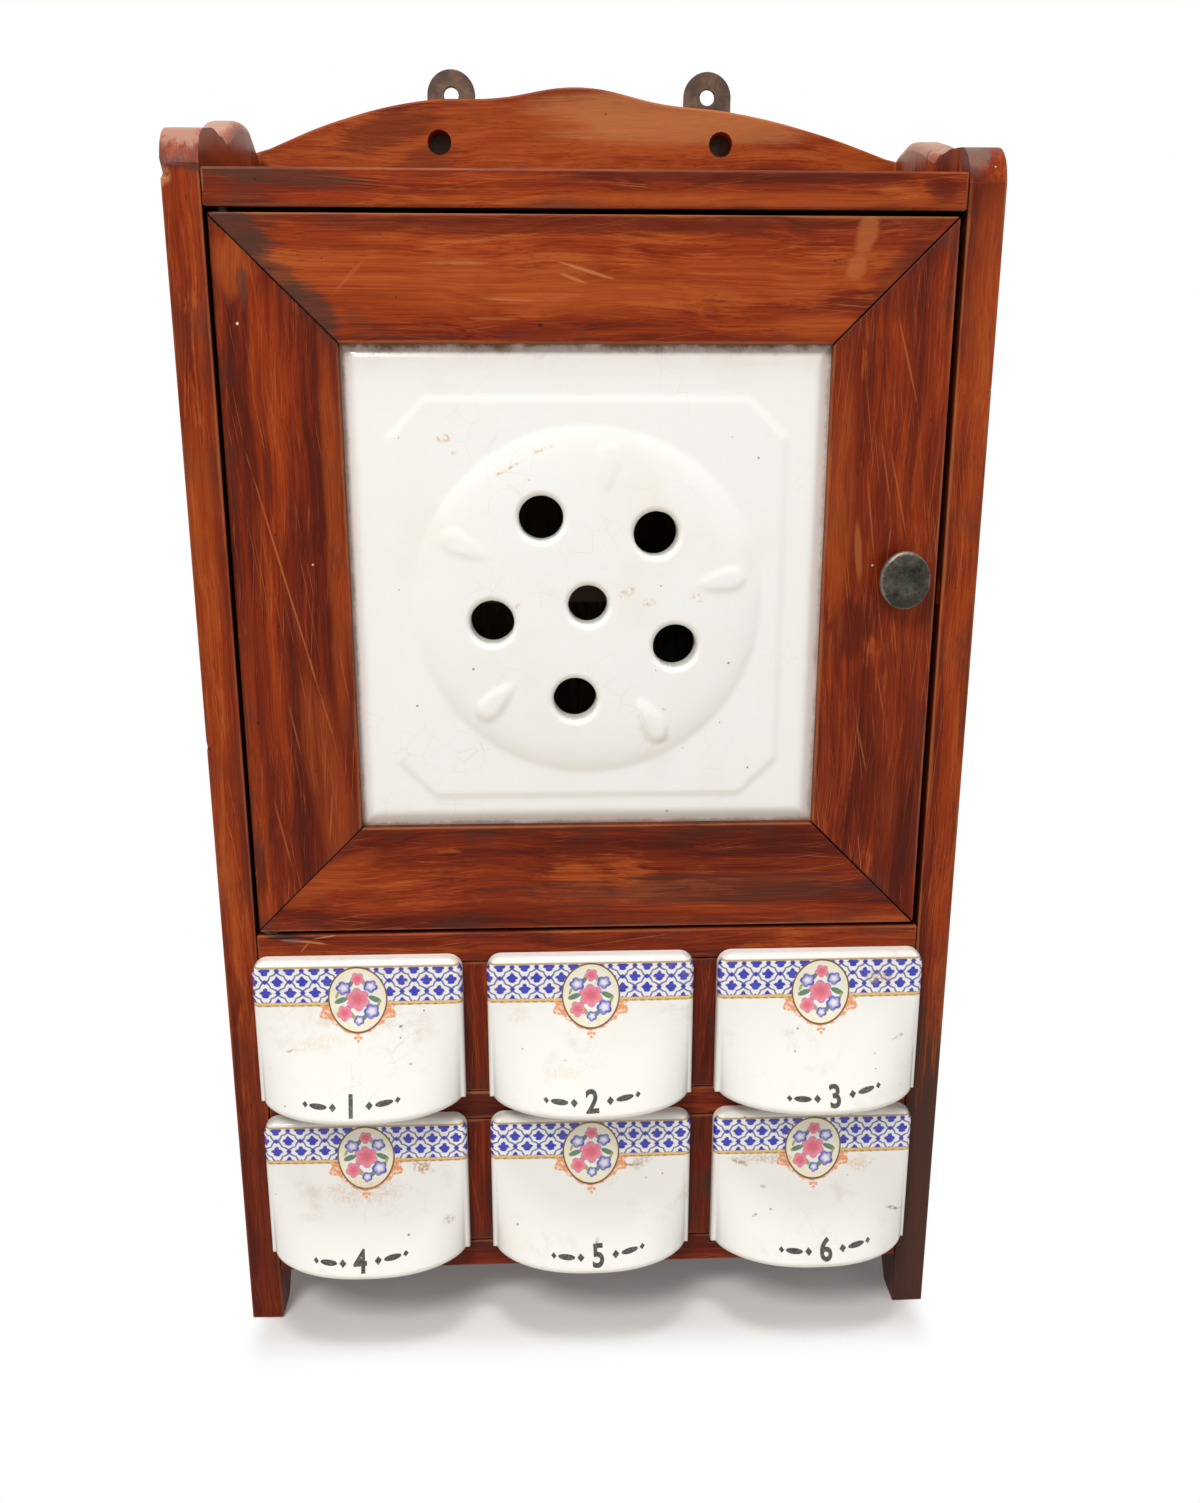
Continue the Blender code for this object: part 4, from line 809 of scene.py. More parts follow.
def carve(bm, tool, operation="DIFFERENCE"):
    things = []
    for part in (bm, tool):
        mesh = bpy.data.meshes.new("carving")
        part.to_mesh(mesh)
        part.free()
        things.append(bpy.data.objects.new("carving", mesh))
        scene.collection.objects.link(things[-1])
    modifier = things[0].modifiers.new("carve", "BOOLEAN")
    modifier.operation = operation
    modifier.solver = "EXACT"
    modifier.object = things[1]
    result = bmesh.new()
    result.from_object(things[0], bpy.context.evaluated_depsgraph_get())
    for thing in things:
        bpy.data.meshes.remove(thing.data)
    return result


def spun(profile, steps=64):
    # (radius, height) points turned about Z
    bm = bmesh.new()
    verts = [bm.verts.new((radius, 0.0, height)) for radius, height in profile]
    edges = [bm.edges.new(pair) for pair in zip(verts, verts[1:])]
    bmesh.ops.spin(
        bm, geom=verts + edges, cent=(0, 0, 0), axis=(0, 0, 1), angle=math.tau, steps=steps, use_merge=True
    )
    bmesh.ops.remove_doubles(bm, verts=bm.verts, dist=0.001 * mm)
    bmesh.ops.recalc_face_normals(bm, faces=bm.faces)
    return bm


def easeEdges(piece, width, segments=3):
    bevel = piece.modifiers.new("eased", "BEVEL")
    bevel.limit_method = "WEIGHT"
    bevel.width = width
    bevel.segments = segments
    bevel.use_clamp_overlap = False
    bevel.harden_normals = False
    normals = piece.modifiers.new("normals", "WEIGHTED_NORMAL")
    normals.keep_sharp = True


def weighEdges(bm, weightOf, shortest=3.2 * mm, angle=40):
    layer = bm.edges.layers.float.new("bevel_weight_edge")
    for edge in bm.edges:
        if not edge.is_manifold or edge.calc_length() < shortest:
            continue
        if edge.calc_face_angle_signed() > math.radians(angle):
            edge[layer] = weightOf(edge)


# axis of the grain, tone, wear and dirt of the stain, ease of the arrises in mm,
# and the share of that ease that a side keeps below its ear
woodBoards = {
    "side_left": {"grain": "Z", "tone": 0.0, "wear": 0.75, "ease": 3.2, "share": 0.18},
    "side_right": {"grain": "Z", "tone": 0.0, "wear": 0.75, "ease": 3.2, "share": 0.18},
    "top_board": {"grain": "X", "tone": 0.0, "wear": 0.75, "ease": 0.25},
    "cupboard_floor": {"grain": "X", "tone": 0.03, "wear": 0.85, "ease": 0.25},
    # painted shade in part: the shelf and bottom board under the drawers are toned darker and soiled more
    "drawer_shelf": {"grain": "X", "tone": -0.06, "wear": 0.3, "soiled": 0.7, "ease": 0.25},
    "bottom_board": {"grain": "X", "tone": -0.06, "wear": 0.3, "soiled": 0.7, "ease": 0.25},
    "crest_board": {"grain": "X", "tone": 0.075, "wear": 1.0, "ease": 1.0},
    "door_rail_top": {"grain": "X", "tone": 0.02, "wear": 0.92, "ease": 0.6},
    "door_rail_bottom": {"grain": "X", "tone": -0.02, "wear": 0.42, "soiled": 0.55, "ease": 0.6},
    "door_stile_left": {"grain": "Z", "tone": -0.05, "wear": 0.25, "ease": 0.6},
    "door_stile_right": {"grain": "Z", "tone": -0.02, "wear": 0.38, "ease": 0.6, "pocketed": True},
    # painted shade in part: the dividers between the drawers are toned darker and soiled more
    "divider_upper_1": {"grain": "Z", "tone": -0.05, "wear": 0.6, "soiled": 0.6, "ease": 0.25},
    "divider_upper_2": {"grain": "Z", "tone": -0.05, "wear": 0.4, "soiled": 0.6, "ease": 0.25},
    "divider_lower_1": {"grain": "Z", "tone": -0.06, "wear": 0.4, "soiled": 0.7, "ease": 0.25},
    "divider_lower_2": {"grain": "Z", "tone": -0.06, "wear": 0.3, "soiled": 0.7, "ease": 0.25},
}
# tint, strength, middle, half sizes, degrees; with two numbers, across and up the front
boardMarks = {
    "door_rail_top": [
        ("amber", 0.6, (-40, 433), (80, 9), -2),
        ("amber", 0.6, (50, 436), (60, 8), 3),
        ("amber", 0.6, (84, 420), (18, 5), 0),
        ("deep", 0.5, (0, 454.5), (130, 4), 0),
        ("deep", 0.45, (115, 438), (24, 9), 45),
        ("scoreAndHighlight", 0.55, (100, 451.5), (4.3, 8.5), -17),
        ("scoreAndHighlight", 0.50, (97, 441), (4.2, 6), -25),
        ("grime", 0.75, (-124, 450), (18, 9), -45),
        ("grime", 0.50, (-113, 438), (18, 7), -45),
        ("grime", 0.75, (-101, 426), (15, 8), -45),
        ("raw", 0.45, (-2, 439.4), (11, 0.8), -16),
        ("raw", 0.40, (-6, 436.5), (6.5, 0.7), -20),
        ("raw", 0.35, (-27, 429), (13, 0.6), -2),
        ("raw", 0.25, (-47, 441.5), (14, 0.7), 0),
        ("raw", 0.20, (-34, 422.5), (11, 0.6), -1),
        ("scoreAndHighlight", 0.35, (-86, 437), (9, 0.8), 45),
        ("sootAndShade", 0.80, (-17.9, 420.3), (0.9, 0.8), 0),
    ],
    "door_rail_bottom": [
        ("amber", 0.5, (-105, 207), (22, 6), 30),
        ("grime", 0.45, (40, 200), (80, 10), 0),
    ],
    "door_stile_right": [
        ("deep", 0.70, (102, 308), (12, 15), 20),
        ("amber", 0.5, (96, 360), (5, 60), 0),
        ("deep", 0.45, (122, 225), (14, 40), 10),
        ("deep", 0.40, (112, 433), (14, 14), 45),
        ("scoreAndHighlight", 0.50, (103, 338), (1.6, 14), 5),
        ("scoreAndHighlight", 0.55, (117.6, 409), (0.4, 18), 16),
        ("scoreAndHighlight", 0.50, (117, 361), (0.4, 20), 14),
        ("scoreAndHighlight", 0.45, (107, 352), (0.4, 20), 8),
        ("scoreAndHighlight", 0.45, (112, 368), (0.4, 15), 11),
        ("scoreAndHighlight", 0.45, (115, 281), (0.4, 12), 12),
        ("scoreAndHighlight", 0.40, (108, 262), (0.4, 14), 14),
    ],
    "door_stile_left": [
        ("amber", 0.7, (-127, 440), (9, 14), 0),
        ("amber", 0.5, (-96, 350), (4, 90), 0),
        ("amber", 0.4, (-104, 250), (9, 50), 8),
        ("grime", 0.6, (-124, 434), (3, 8), 0),
        ("scoreAndHighlight", 0.60, (-114, 322), (0.45, 62), 13.6),
        ("scoreAndHighlight", 0.45, (-115.4, 270), (0.4, 15), 10),
        ("scoreAndHighlight", 0.45, (-103.2, 233), (0.4, 13), -6),
        ("scoreAndHighlight", 0.45, (-122.6, 227), (0.4, 16), 11),
        ("sootAndShade", 0.70, (-129.4, 272.3), (0.7, 0.7), 0),
        ("paint", 0.80, (-104.7, 333.9), (0.5, 0.5), 0),
        ("paint", 0.9, (-126.7, 420.6), (0.7, 0.7), 0),
    ],
    "side_left": [
        ("grey", 0.85, (-143, 20, 502), (40, 60, 18), 0),
        ("grey", 0.70, (-143, -44, 487), (18, 24, 9), 0),
        ("grime", 0.6, (-141, -50, 473.5), (13, 8, 2.4), -10),
        ("raw", 0.6, (-150, -50, 470), (4, 8, 4.5), 30),
        ("amber", 0.7, (-137, -5, 490), (3, 50, 16), 0),
        ("grime", 0.5, (-137, 64, 480), (3, 10, 10), 0),
        ("grime", 0.4, (-137, -20, 476), (3, 20, 4), 0),
        ("amber", 0.5, (-146, 336), (8, 60), 0),
        ("deep", 0.5, (-143, 60), (14, 120), 0),
    ],
    "side_right": [
        ("grey", 0.75, (143, 20, 499), (40, 60, 16), 0),
        ("dust", 0.55, (139, -46, 480), (7, 14, 8), 0),
        ("deep", 0.55, (139, 466), (8, 10), 0),
        ("grime", 0.7, (137, 58, 480), (3, 16, 12), 0),
        ("grime", 0.9, (143, 50), (24, 110), 0),
        ("amber", 0.5, (146, 420), (8, 50), 0),
    ],
    "top_board": [
        ("deep", 0.6, (60, 471), (100, 3), 0),
        ("amber", 0.7, (70, 463), (90, 3.5), 0),
        ("grime", 0.6, (-105, 470), (34, 3.5), -4),
        ("deep", 0.6, (126, 467), (10, 6), 0),
    ],
    "cupboard_floor": [
        # a splinter painted on the front edge: near-black lines as painted shade in its crack, dust, and
        # pale raw wood
        ("sootAndShade", 0.90, (-125, 182.2), (9, 0.8), 2),
        ("sootAndShade", 0.80, (-112, 181.2), (8, 0.5), -5),
        ("dust", 0.70, (-121, 180.4), (6, 0.7), -6),
        ("raw", 0.60, (-114, 179.8), (8, 0.6), -9),
        ("raw", 0.55, (-108, 182.0), (6, 0.4), 8),
        ("raw", 0.45, (-117, 177.4), (3.5, 0.35), 50),
    ],
    "crest_board": [
        ("deep", 0.50, (-80, 58, 504), (30, 20, 9), 18),
        ("deep", 0.45, (-70, 58, 488), (22, 20, 9), 30),
        ("raw", 0.45, (35, 58, 508), (75, 20, 12), 0),
    ],
}


earWear = {            # millimetres
    "above": 2.0,          # the top board, where an ear starts
    "upward": 0.7,
    "along": 0.35,
    "size": 11.0,
}
boardChips = {        # middle and half size of a chip knocked off an arris, in mm
    "side_left": [((-150.6, -49.8, 262.7), 1.7), ((-150.4, -49.9, 471.5), 2.6)],
    "side_right": [((150.6, -49.9, 398.0), 1.3)],
}
chipTurn = (0.6, 0.8)  # about X and Z, in radians
crestSeat = {          # millimetres
    "endZone": 0.3,
    "letIn": 1.6,          # of its ends into the ears
    "footZone": 1.0,
    "footGap": 0.02,       # left above the top board
}


def onEar(vert):
    return vert.co.z > topPlane + earWear["above"] * mm


def roughenEar(bm, settings):
    # the ears' outline, worn out of true by many hands
    for vert in bm.verts:
        if onEar(vert):
            wander = noise.noise(Vector((vert.co.y, vert.co.z, 0.0)) / (settings["size"] * mm))
            vert.co.y += wander * settings["along"] * mm
            vert.co.z += wander * settings["upward"] * mm


def chipArris(bm, chips):
    turn = Matrix.Rotation(chipTurn[0], 4, "X") @ Matrix.Rotation(chipTurn[1], 4, "Z")
    for middle, half in chips:
        tool = bmesh.new()
        place = Matrix.Translation(Vector(middle) * mm) @ turn
        bmesh.ops.create_cube(tool, size=2 * half * mm, matrix=place)
        bm = carve(bm, tool)
    return bm


def seatCrest(bm, settings):
    # the crest stands close on the top board, and its ends are let into the worn backs of the ears
    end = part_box("crest_board")[1].x - settings["endZone"] * mm
    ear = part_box("side_right")[0].x + settings["letIn"] * mm
    for vert in bm.verts:
        if abs(vert.co.x) > end:
            vert.co.x = math.copysign(ear, vert.co.x)
        if vert.co.z < topPlane + settings["footZone"] * mm:
            vert.co.z = topPlane + settings["footGap"] * mm


def makeBoard(index, node, settings):
    bm = copyNode(node)
    if node in boardChips:
        roughenEar(bm, earWear)
        bm = chipArris(bm, boardChips[node])
    if node == "crest_board":
        seatCrest(bm, crestSeat)
    if settings.get("pocketed"):
        # the faces round the lock's pocket bevel cleanly only as triangles
        bmesh.ops.triangulate(bm, faces=[face for face in bm.faces if len(face.verts) > 4])

    def weightOf(edge):
        return 1.0 if all(onEar(vert) for vert in edge.verts) else settings.get("share", 1.0)

    weighEdges(bm, weightOf, angle=30)
    material = stainedWood(
        node,
        settings["grain"],
        settings["tone"],
        settings["wear"],
        settings.get("soiled", 0.4),
        seed=1.7 * index + 0.4,
        marks=boardMarks.get(node, ()),
        mitred=node.startswith("door_"),
    )
    piece = placePiece(node + "_finished", bm, material, bodyOf[node], [node])
    easeEdges(piece, settings["ease"] * mm)


for order, (board, finish) in enumerate(woodBoards.items()):
    makeBoard(order, board, finish)
print("stained boards finished:", len(woodBoards))


plainBoards = {
    "tile_bead_top": "X",
    "tile_bead_bottom": "X",
    "tile_bead_left": "Z",
    "tile_bead_right": "Z",
}
innerBoards = {"back_panel": "Z", "inner_shelf": "X", "shelf_cleat_left": "Y", "shelf_cleat_right": "Y"}
innerShade = {        # the paler wood is darkened by these
    "back_panel": (1.0, 1.0, 1.0, 1.0),
    "inner_shelf": (0.20, 0.15, 0.12, 1.0),
    "inside": (0.38, 0.30, 0.24, 1.0),
}


def paintNode(node, material):
    frame["nodes"][node].data.materials.clear()
    frame["nodes"][node].data.materials.append(material)


def paintBoards():
    for index, (node, grain) in enumerate(plainBoards.items()):
        paintNode(node, stainedWood(node, grain, -0.04, 0.3, seed=31 + index))
    for index, (node, grain) in enumerate(innerBoards.items()):
        paintNode(node, paleWood(node, grain, 41 + index, innerShade.get(node, innerShade["inside"])))


paintBoards()
print("beads and inner boards painted")


# vent tile
tileShape = {
    "step": 1.25,          # of the grid, in mm
    "thickness": 6.0,      # behind the edge of the glaze
    "reliefDrop": 3.5,     # below the tile's middle
    "edgeFall": 1.9,
    "edgeWidth": 6.5,
    "frameCover": 4.5,     # of the tile's edge that the frame hides
    "panelMargin": 15.8,
    "panelNotch": 14.5,
    "panelRise": 0.7,
    "bossMargin": 23.6,
    "bossRise": 3.0,
    "vents": 5,
    "ventCircle": 37.5,
    "ventRadius": 8.5,
    "middleRadius": 7.6,
    "ventTurn": 28.2,      # degrees
    "ventEase": 2.4,
    "ventBorder": 4.0,     # round each vent, where the grid is finer
    "ventBore": 40.0,      # length of the drill
    "ventSides": 72,
    "dropRadius": 51.0,
    "dropLength": 10.5,
    "dropWidth": 6.6,
    "dropRises": [0.5, 0.7, 1.6, 1.1, 0.5],  # clockwise from the top, shallower under thick glaze
}


def smoothStep(value, low, high):
    share = min(1.0, max(0.0, (value - low) / (high - low)))
    return share * share * (3 - 2 * share)


def roundedFall(distance, radius):
    # how far a rounded rim falls back at a distance from its edge
    if distance >= radius:
        return 0.0
    return radius - math.sqrt(radius ** 2 - (radius - max(0.0, distance)) ** 2)


def ventPlaces(shape):
    places = [(0.0, 0.0, shape["middleRadius"])]
    for index in range(shape["vents"]):
        turn = math.radians(shape["ventTurn"] - index * 360 / shape["vents"])
        across = -math.sin(turn) * shape["ventCircle"]
        up = math.cos(turn) * shape["ventCircle"]
        places.append((across, up, shape["ventRadius"]))
    return places


def tileRelief(u, v, shape, half, vents):
    # how far the glaze stands forward of the tile's edge, all in mm from the relief's middle
    inner = [size - shape["frameCover"] for size in half]
    edge = min(inner[0] - abs(u), inner[1] - abs(v - shape["reliefDrop"]))
    rise = shape["edgeFall"] * smoothStep(edge, 0.0, shape["edgeWidth"])
    panelU = inner[0] - shape["panelMargin"]
    panelV = inner[1] - shape["panelMargin"]
    notch = (abs(u) + abs(v) - panelU - panelV + shape["panelNotch"]) * slanted
    outside = max(abs(u) - panelU, abs(v) - panelV, notch)
    rise += shape["panelRise"] * smoothStep(-outside, -1.3, 1.3)
    bossRadius = min(inner) - shape["bossMargin"]
    share = math.hypot(u, v) / bossRadius
    if share < 1.0:
        rise += shape["bossRise"] * (0.45 * (1 - share ** 3) + 0.55 * (1 - share ** 10) ** 0.8)
    for index, height in enumerate(shape["dropRises"]):
        turn = math.radians(shape["ventTurn"] - (index + 0.5) * 360 / shape["vents"])
        outward = -math.sin(turn) * u + math.cos(turn) * v - shape["dropRadius"]
        sideways = math.cos(turn) * u + math.sin(turn) * v
        length = outward / shape["dropLength"]
        if abs(length) < 1.0:
            breadth = shape["dropWidth"] * math.sqrt(1 - length ** 2) * (0.62 + 0.38 * length)
            share = abs(sideways) / max(breadth, 0.01)
            if share < 1.0:
                rise += height * (1 - share ** 5) * smoothStep(breadth, 0.0, 4.0)
    for ventU, ventV, radius in vents:
        rise -= roundedFall(math.hypot(u - ventU, v - ventV) - radius, shape["ventEase"])
    return rise


def makeTile(shape):
    low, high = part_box("door_tile")
    half = [(high.x - low.x) / 2 / mm, (high.z - low.z) / 2 / mm]
    reliefHeight = (low.z + high.z) / 2 - shape["reliefDrop"] * mm
    middle = Vector(((low.x + high.x) / 2, high.y - shape["thickness"] * mm, reliefHeight))
    vents = ventPlaces(shape)
    bm = bmesh.new()
    columns = round(2 * half[0] / shape["step"])
    rows = round(2 * half[1] / shape["step"])
    bmesh.ops.create_grid(bm, x_segments=columns, y_segments=rows, size=1.0)
    bmesh.ops.scale(bm, vec=(half[0], half[1], 1.0), verts=bm.verts)
    bmesh.ops.translate(bm, vec=(0, shape["reliefDrop"], 0), verts=bm.verts)

    def nearVent(vert):
        border = shape["ventBorder"]
        return any(math.hypot(vert.co.x - u, vert.co.y - v) < radius + border for u, v, radius in vents)

    close = [edge for edge in bm.edges if all(nearVent(vert) for vert in edge.verts)]
    bmesh.ops.subdivide_edges(bm, edges=close, cuts=2, use_grid_fill=True)
    for vert in bm.verts:
        vert.co.z = tileRelief(vert.co.x, vert.co.y, shape, half, vents)
    closeBehind(bm, 2, -shape["thickness"])
    tool = bmesh.new()
    for u, v, radius in vents:
        bmesh.ops.create_cone(
            tool, cap_ends=True, segments=shape["ventSides"], radius1=radius, radius2=radius,
            depth=shape["ventBore"], matrix=Matrix.Translation((u, v, 0)),
        )
    bm = carve(bm, tool)
    standUp(bm, middle, 90)
    glaze = tileGlaze(tileMarks, middle, shape["frameCover"])
    placePiece("door_tile_glazed", bm, glaze, "door", ["door_tile"], sharp=60)


makeTile(tileShape)
print("vent tile made")


# ceramic drawers
drawerShape = {
    "columns": 100,
    "rows": 76,
    "gap": 0.3,            # between the carcass and the front's back
    "plate": 6.5,
    "rim": 3.0,
    "corner": 6.0,
    "lipMargin": 2.0,
    "lipStart": 16.0,
    "lipWall": 5.0,
    "squareness": 2.4,
    "roundness": 0.7,
    "flare": 1.5,
    "tubGap": 2.4,         # on each side, behind the front
    "tubDrop": 6.5,        # of the tub's rim below the front's top
    "wall": 4.5,
    "tubCorner": 7.0,
    "tubRim": 1.3,
    "tubFoot": 2.2,        # round of the floor inside, less than tubCorner minus wall
    "pocketHeight": 12.0,
    "pocketMargin": 12.0,
}


def frontDepth(x, z, width, height, reach, shape):
    # how far the face of a drawer front stands forward, in mm from its back
    half = width / 2
    edge = min(half - abs(x), height - z, z)
    across = min(1.0, abs(x) / (half - shape["lipMargin"]))
    down = (height - shape["lipStart"] - z) / (height - shape["lipStart"] - shape["rim"])
    down = min(1.0, max(0.0, down))
    bow = (1 - across ** shape["squareness"]) ** shape["roundness"]
    swell = reach * bow * down ** shape["flare"]
    return shape["plate"] + swell - roundedFall(edge, shape["rim"])


def drawerSizes(node, shape):
    low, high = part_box(node)
    width = (high.x - low.x) / mm
    height = (high.z - low.z) / mm
    back = frontPlane - shape["gap"] * mm
    reach = (back - low.y) / mm - shape["plate"]
    depth = (high.y - back) / mm
    return width, height, reach, depth


def drawerPlace(node, shape):
    low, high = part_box(node)
    return Vector(((low.x + high.x) / 2, frontPlane - shape["gap"] * mm, low.z))


def drawerFront(width, height, reach, shape):
    half = width / 2
    bm = bmesh.new()
    bmesh.ops.create_grid(bm, x_segments=shape["columns"], y_segments=shape["rows"], size=1.0)
    for vert in bm.verts:
        # stations crowd towards the rims
        x = half * math.sin(vert.co.x * math.pi / 2)
        z = height / 2 * (1 + math.sin(vert.co.y * math.pi / 2))
        narrow = 1 - roundedFall(height - z, shape["corner"]) / half
        vert.co = (x * narrow, -frontDepth(x, z, width, height, reach, shape), z)
    closeBehind(bm, 1, 0.0)
    return bm


def drawerTub(width, height, depth, shape):
    size = (width - 2 * shape["tubGap"], depth + shape["plate"] / 2, height - shape["tubDrop"])
    bm = bmesh.new()
    middle = (0, depth / 2 - shape["plate"] / 4, size[2] / 2)
    bmesh.ops.create_cube(bm, size=1.0, matrix=Matrix.Translation(middle) @ Matrix.Diagonal((*size, 1.0)))
    lower = [edge for edge in bm.edges if any(vert.co.z < 1.0 for vert in edge.verts)]
    roundEdges(bm, lower, shape["tubCorner"], 6)
    top = [face for face in bm.faces if face.normal.z > 0.9 and face.calc_center_median().z > size[2] - 0.1]
    bmesh.ops.inset_region(bm, faces=top, thickness=shape["wall"], use_even_offset=True)
    sunk = bmesh.ops.extrude_face_region(bm, geom=top)["geom"]
    floor = vertsOf(sunk)
    bmesh.ops.delete(bm, geom=top, context="FACES_ONLY")
    bmesh.ops.translate(bm, vec=(0, 0, shape["wall"] - size[2]), verts=floor)
    sharp = [edge for edge in bm.edges if edge.calc_face_angle(0) > 0.9]
    brims = [edge for edge in sharp if all(vert.co.z > size[2] - 0.01 for vert in edge.verts)]
    foot = [edge for edge in sharp if all(vert in floor for vert in edge.verts)]
    roundEdges(bm, foot, shape["tubFoot"], 4)
    roundEdges(bm, [edge for edge in brims if edge.is_valid], shape["tubRim"], 3)
    bmesh.ops.recalc_face_normals(bm, faces=bm.faces)
    return bm


def drawerBody(width, height, reach, depth, shape):
    pocket = bmesh.new()
    radii = (width / 2 - shape["pocketMargin"], reach - shape["lipWall"], shape["pocketHeight"], 1.0)
    place = Matrix.Translation((0, -shape["plate"], 0)) @ Matrix.Diagonal(radii)
    bmesh.ops.create_uvsphere(pocket, u_segments=64, v_segments=32, radius=1.0, matrix=place)
    bmesh.ops.bisect_plane(
        pocket, geom=pocket.verts[:] + pocket.edges[:] + pocket.faces[:], plane_co=(0, -shape["plate"], 0),
        plane_no=(0, 1, 0), clear_outer=True,
    )
    bmesh.ops.holes_fill(pocket, edges=[edge for edge in pocket.edges if edge.is_boundary])
    bmesh.ops.recalc_face_normals(pocket, faces=pocket.faces)
    bm = carve(drawerFront(width, height, reach, shape), drawerTub(width, height, depth, shape), "UNION")
    return carve(bm, pocket)


def layPrint(bm, shape, settings):
    # the print's map: across and up the front, and out of reach everywhere else
    layer = bm.loops.layers.uv.new("print")
    for face in bm.faces:
        middle = face.calc_center_median()
        isFront = face.normal.y < -0.02 and middle.y < 0.5 - shape["plate"] / 2
        for loop in face.loops:
            if isFront:
                loop[layer].uv = (loop.vert.co.x / settings["unit"] + 0.5, loop.vert.co.z / settings["unit"])
            else:
                loop[layer].uv = settings["offFront"]


numberSettings = {
    "size": 11.0,          # millimetres
    "bold": 0.32,
    "height": 7.4,         # of the figure's middle above the foot
    "proud": 0.05,
    "sunk": 0.12,
    "dashes": [(7.4, 1.5, 1.5), (13.4, 3.6, 1.05), (18.8, 1.15, 1.15)],  # across, half length, half height
    "lift": 0.003,         # arch of the row, per mm squared
    "merge": 0.01,         # points nearer than this are one
    "cuts": [(0, 22), (1, 5)],  # axis, and how far out it is cut at every millimetre to follow the front
    "rows": [(-2.5, 3), (0.0, 2), (4.5, 3), (-2.0, 4), (2.5, 2), (4.0, 1)],  # shift in mm, degrees
}


def dropFolds(bm, merge):
    # the bold outline folds a few slivers over its own fill
    bmesh.ops.remove_doubles(bm, verts=bm.verts, dist=merge)
    bmesh.ops.dissolve_degenerate(bm, edges=bm.edges, dist=merge)
    crowded = [edge.link_faces[:] for edge in bm.edges if len(edge.link_faces) > 2]
    folded = {min(faces, key=lambda face: face.calc_area()) for faces in crowded}
    bmesh.ops.delete(bm, geom=list(folded), context="FACES")


def numberFigure(number, settings):
    curve = bpy.data.curves.new("number", "FONT")
    curve.body = str(number)
    curve.size = settings["size"]
    curve.offset = settings["bold"]
    curve.align_x = "CENTER"
    curve.align_y = "CENTER"
    curve.resolution_u = 6
    text = bpy.data.objects.new("number", curve)
    scene.collection.objects.link(text)
    figure = bpy.data.meshes.new_from_object(text.evaluated_get(bpy.context.evaluated_depsgraph_get()))
    bm = bmesh.new()
    bm.from_mesh(figure)
    bpy.data.meshes.remove(figure)
    bpy.data.objects.remove(text)
    bpy.data.curves.remove(curve)
    dropFolds(bm, settings["merge"])
    for across, halfLength, halfHeight in settings["dashes"]:
        for sign in (-1, 1):
            stretch = Matrix.Diagonal((halfLength, halfHeight, 1, 1))
            place = Matrix.Translation((sign * across, 0, 0)) @ stretch
            segments = 4 if halfLength == halfHeight else 20
            bmesh.ops.create_circle(bm, cap_ends=True, segments=segments, radius=1.0, matrix=place)
    return bm


def layNumber(number, node, settings, shape, material):
    width, height, reach = drawerSizes(node, shape)[:3]
    bm = numberFigure(number, settings)
    for axis, span in settings["cuts"]:
        normal = Vector((0, 0, 0))
        normal[axis] = 1.0
        for cut in range(-span, span + 1):
            everything = bm.verts[:] + bm.edges[:] + bm.faces[:]
            bmesh.ops.bisect_plane(bm, geom=everything, plane_co=normal * cut, plane_no=normal)
    dropFolds(bm, settings["merge"])
    shift, turn = settings["rows"][number - 1]
    bmesh.ops.rotate(bm, cent=(0, 0, 0), matrix=Matrix.Rotation(math.radians(turn), 3, "Z"), verts=bm.verts)
    for vert in bm.verts:
        x = vert.co.x + shift
        z = settings["height"] + vert.co.y + settings["lift"] * x ** 2
        vert.co = (x, -frontDepth(x, z, width, height, reach, shape) - settings["proud"], z)
    rear = vertsOf(bmesh.ops.extrude_face_region(bm, geom=bm.faces[:])["geom"])
    bmesh.ops.translate(bm, vec=(0, settings["proud"] + settings["sunk"], 0), verts=rear)
    bmesh.ops.recalc_face_normals(bm, faces=bm.faces)
    bmesh.ops.scale(bm, vec=(mm, mm, mm), verts=bm.verts)
    bmesh.ops.translate(bm, vec=drawerPlace(node, shape), verts=bm.verts)
    placePiece(f"{node}_number", bm, material, bodyOf[node], sharp=40)


def makeDrawers(shape):
    width, height, reach, depth = drawerSizes("drawer_1", shape)
    glaze = drawerGlaze(drawerPrint, height)
    ink = inkMaterial()
    pattern = drawerBody(width, height, reach, depth, shape)
    layPrint(pattern, shape, drawerPrint)
    bmesh.ops.scale(pattern, vec=(mm, mm, mm), verts=pattern.verts)
    for number in range(1, 7):
        node = f"drawer_{number}"
        bm = pattern.copy()
        bmesh.ops.translate(bm, vec=drawerPlace(node, shape), verts=bm.verts)
        placePiece(node + "_glazed", bm, glaze, bodyOf[node], [node], sharp=50)
        layNumber(number, node, numberSettings, shape, ink)
    pattern.free()


makeDrawers(drawerShape)
print("ceramic drawers made")


# knob and ironwork
knobShape = {
    "standoff": 6.0,
    "thickness": 4.0,
    "dome": 1.2,
    "face": 0.94,          # share of the radius before the rim rounds off
    "wear": 0.12,          # unevenness of the face, in mm
    "neck": 4.5,
    "bore": 2.8,
    "grip": 3.5,
    "gap": 0.3,
    "steps": 96,
}


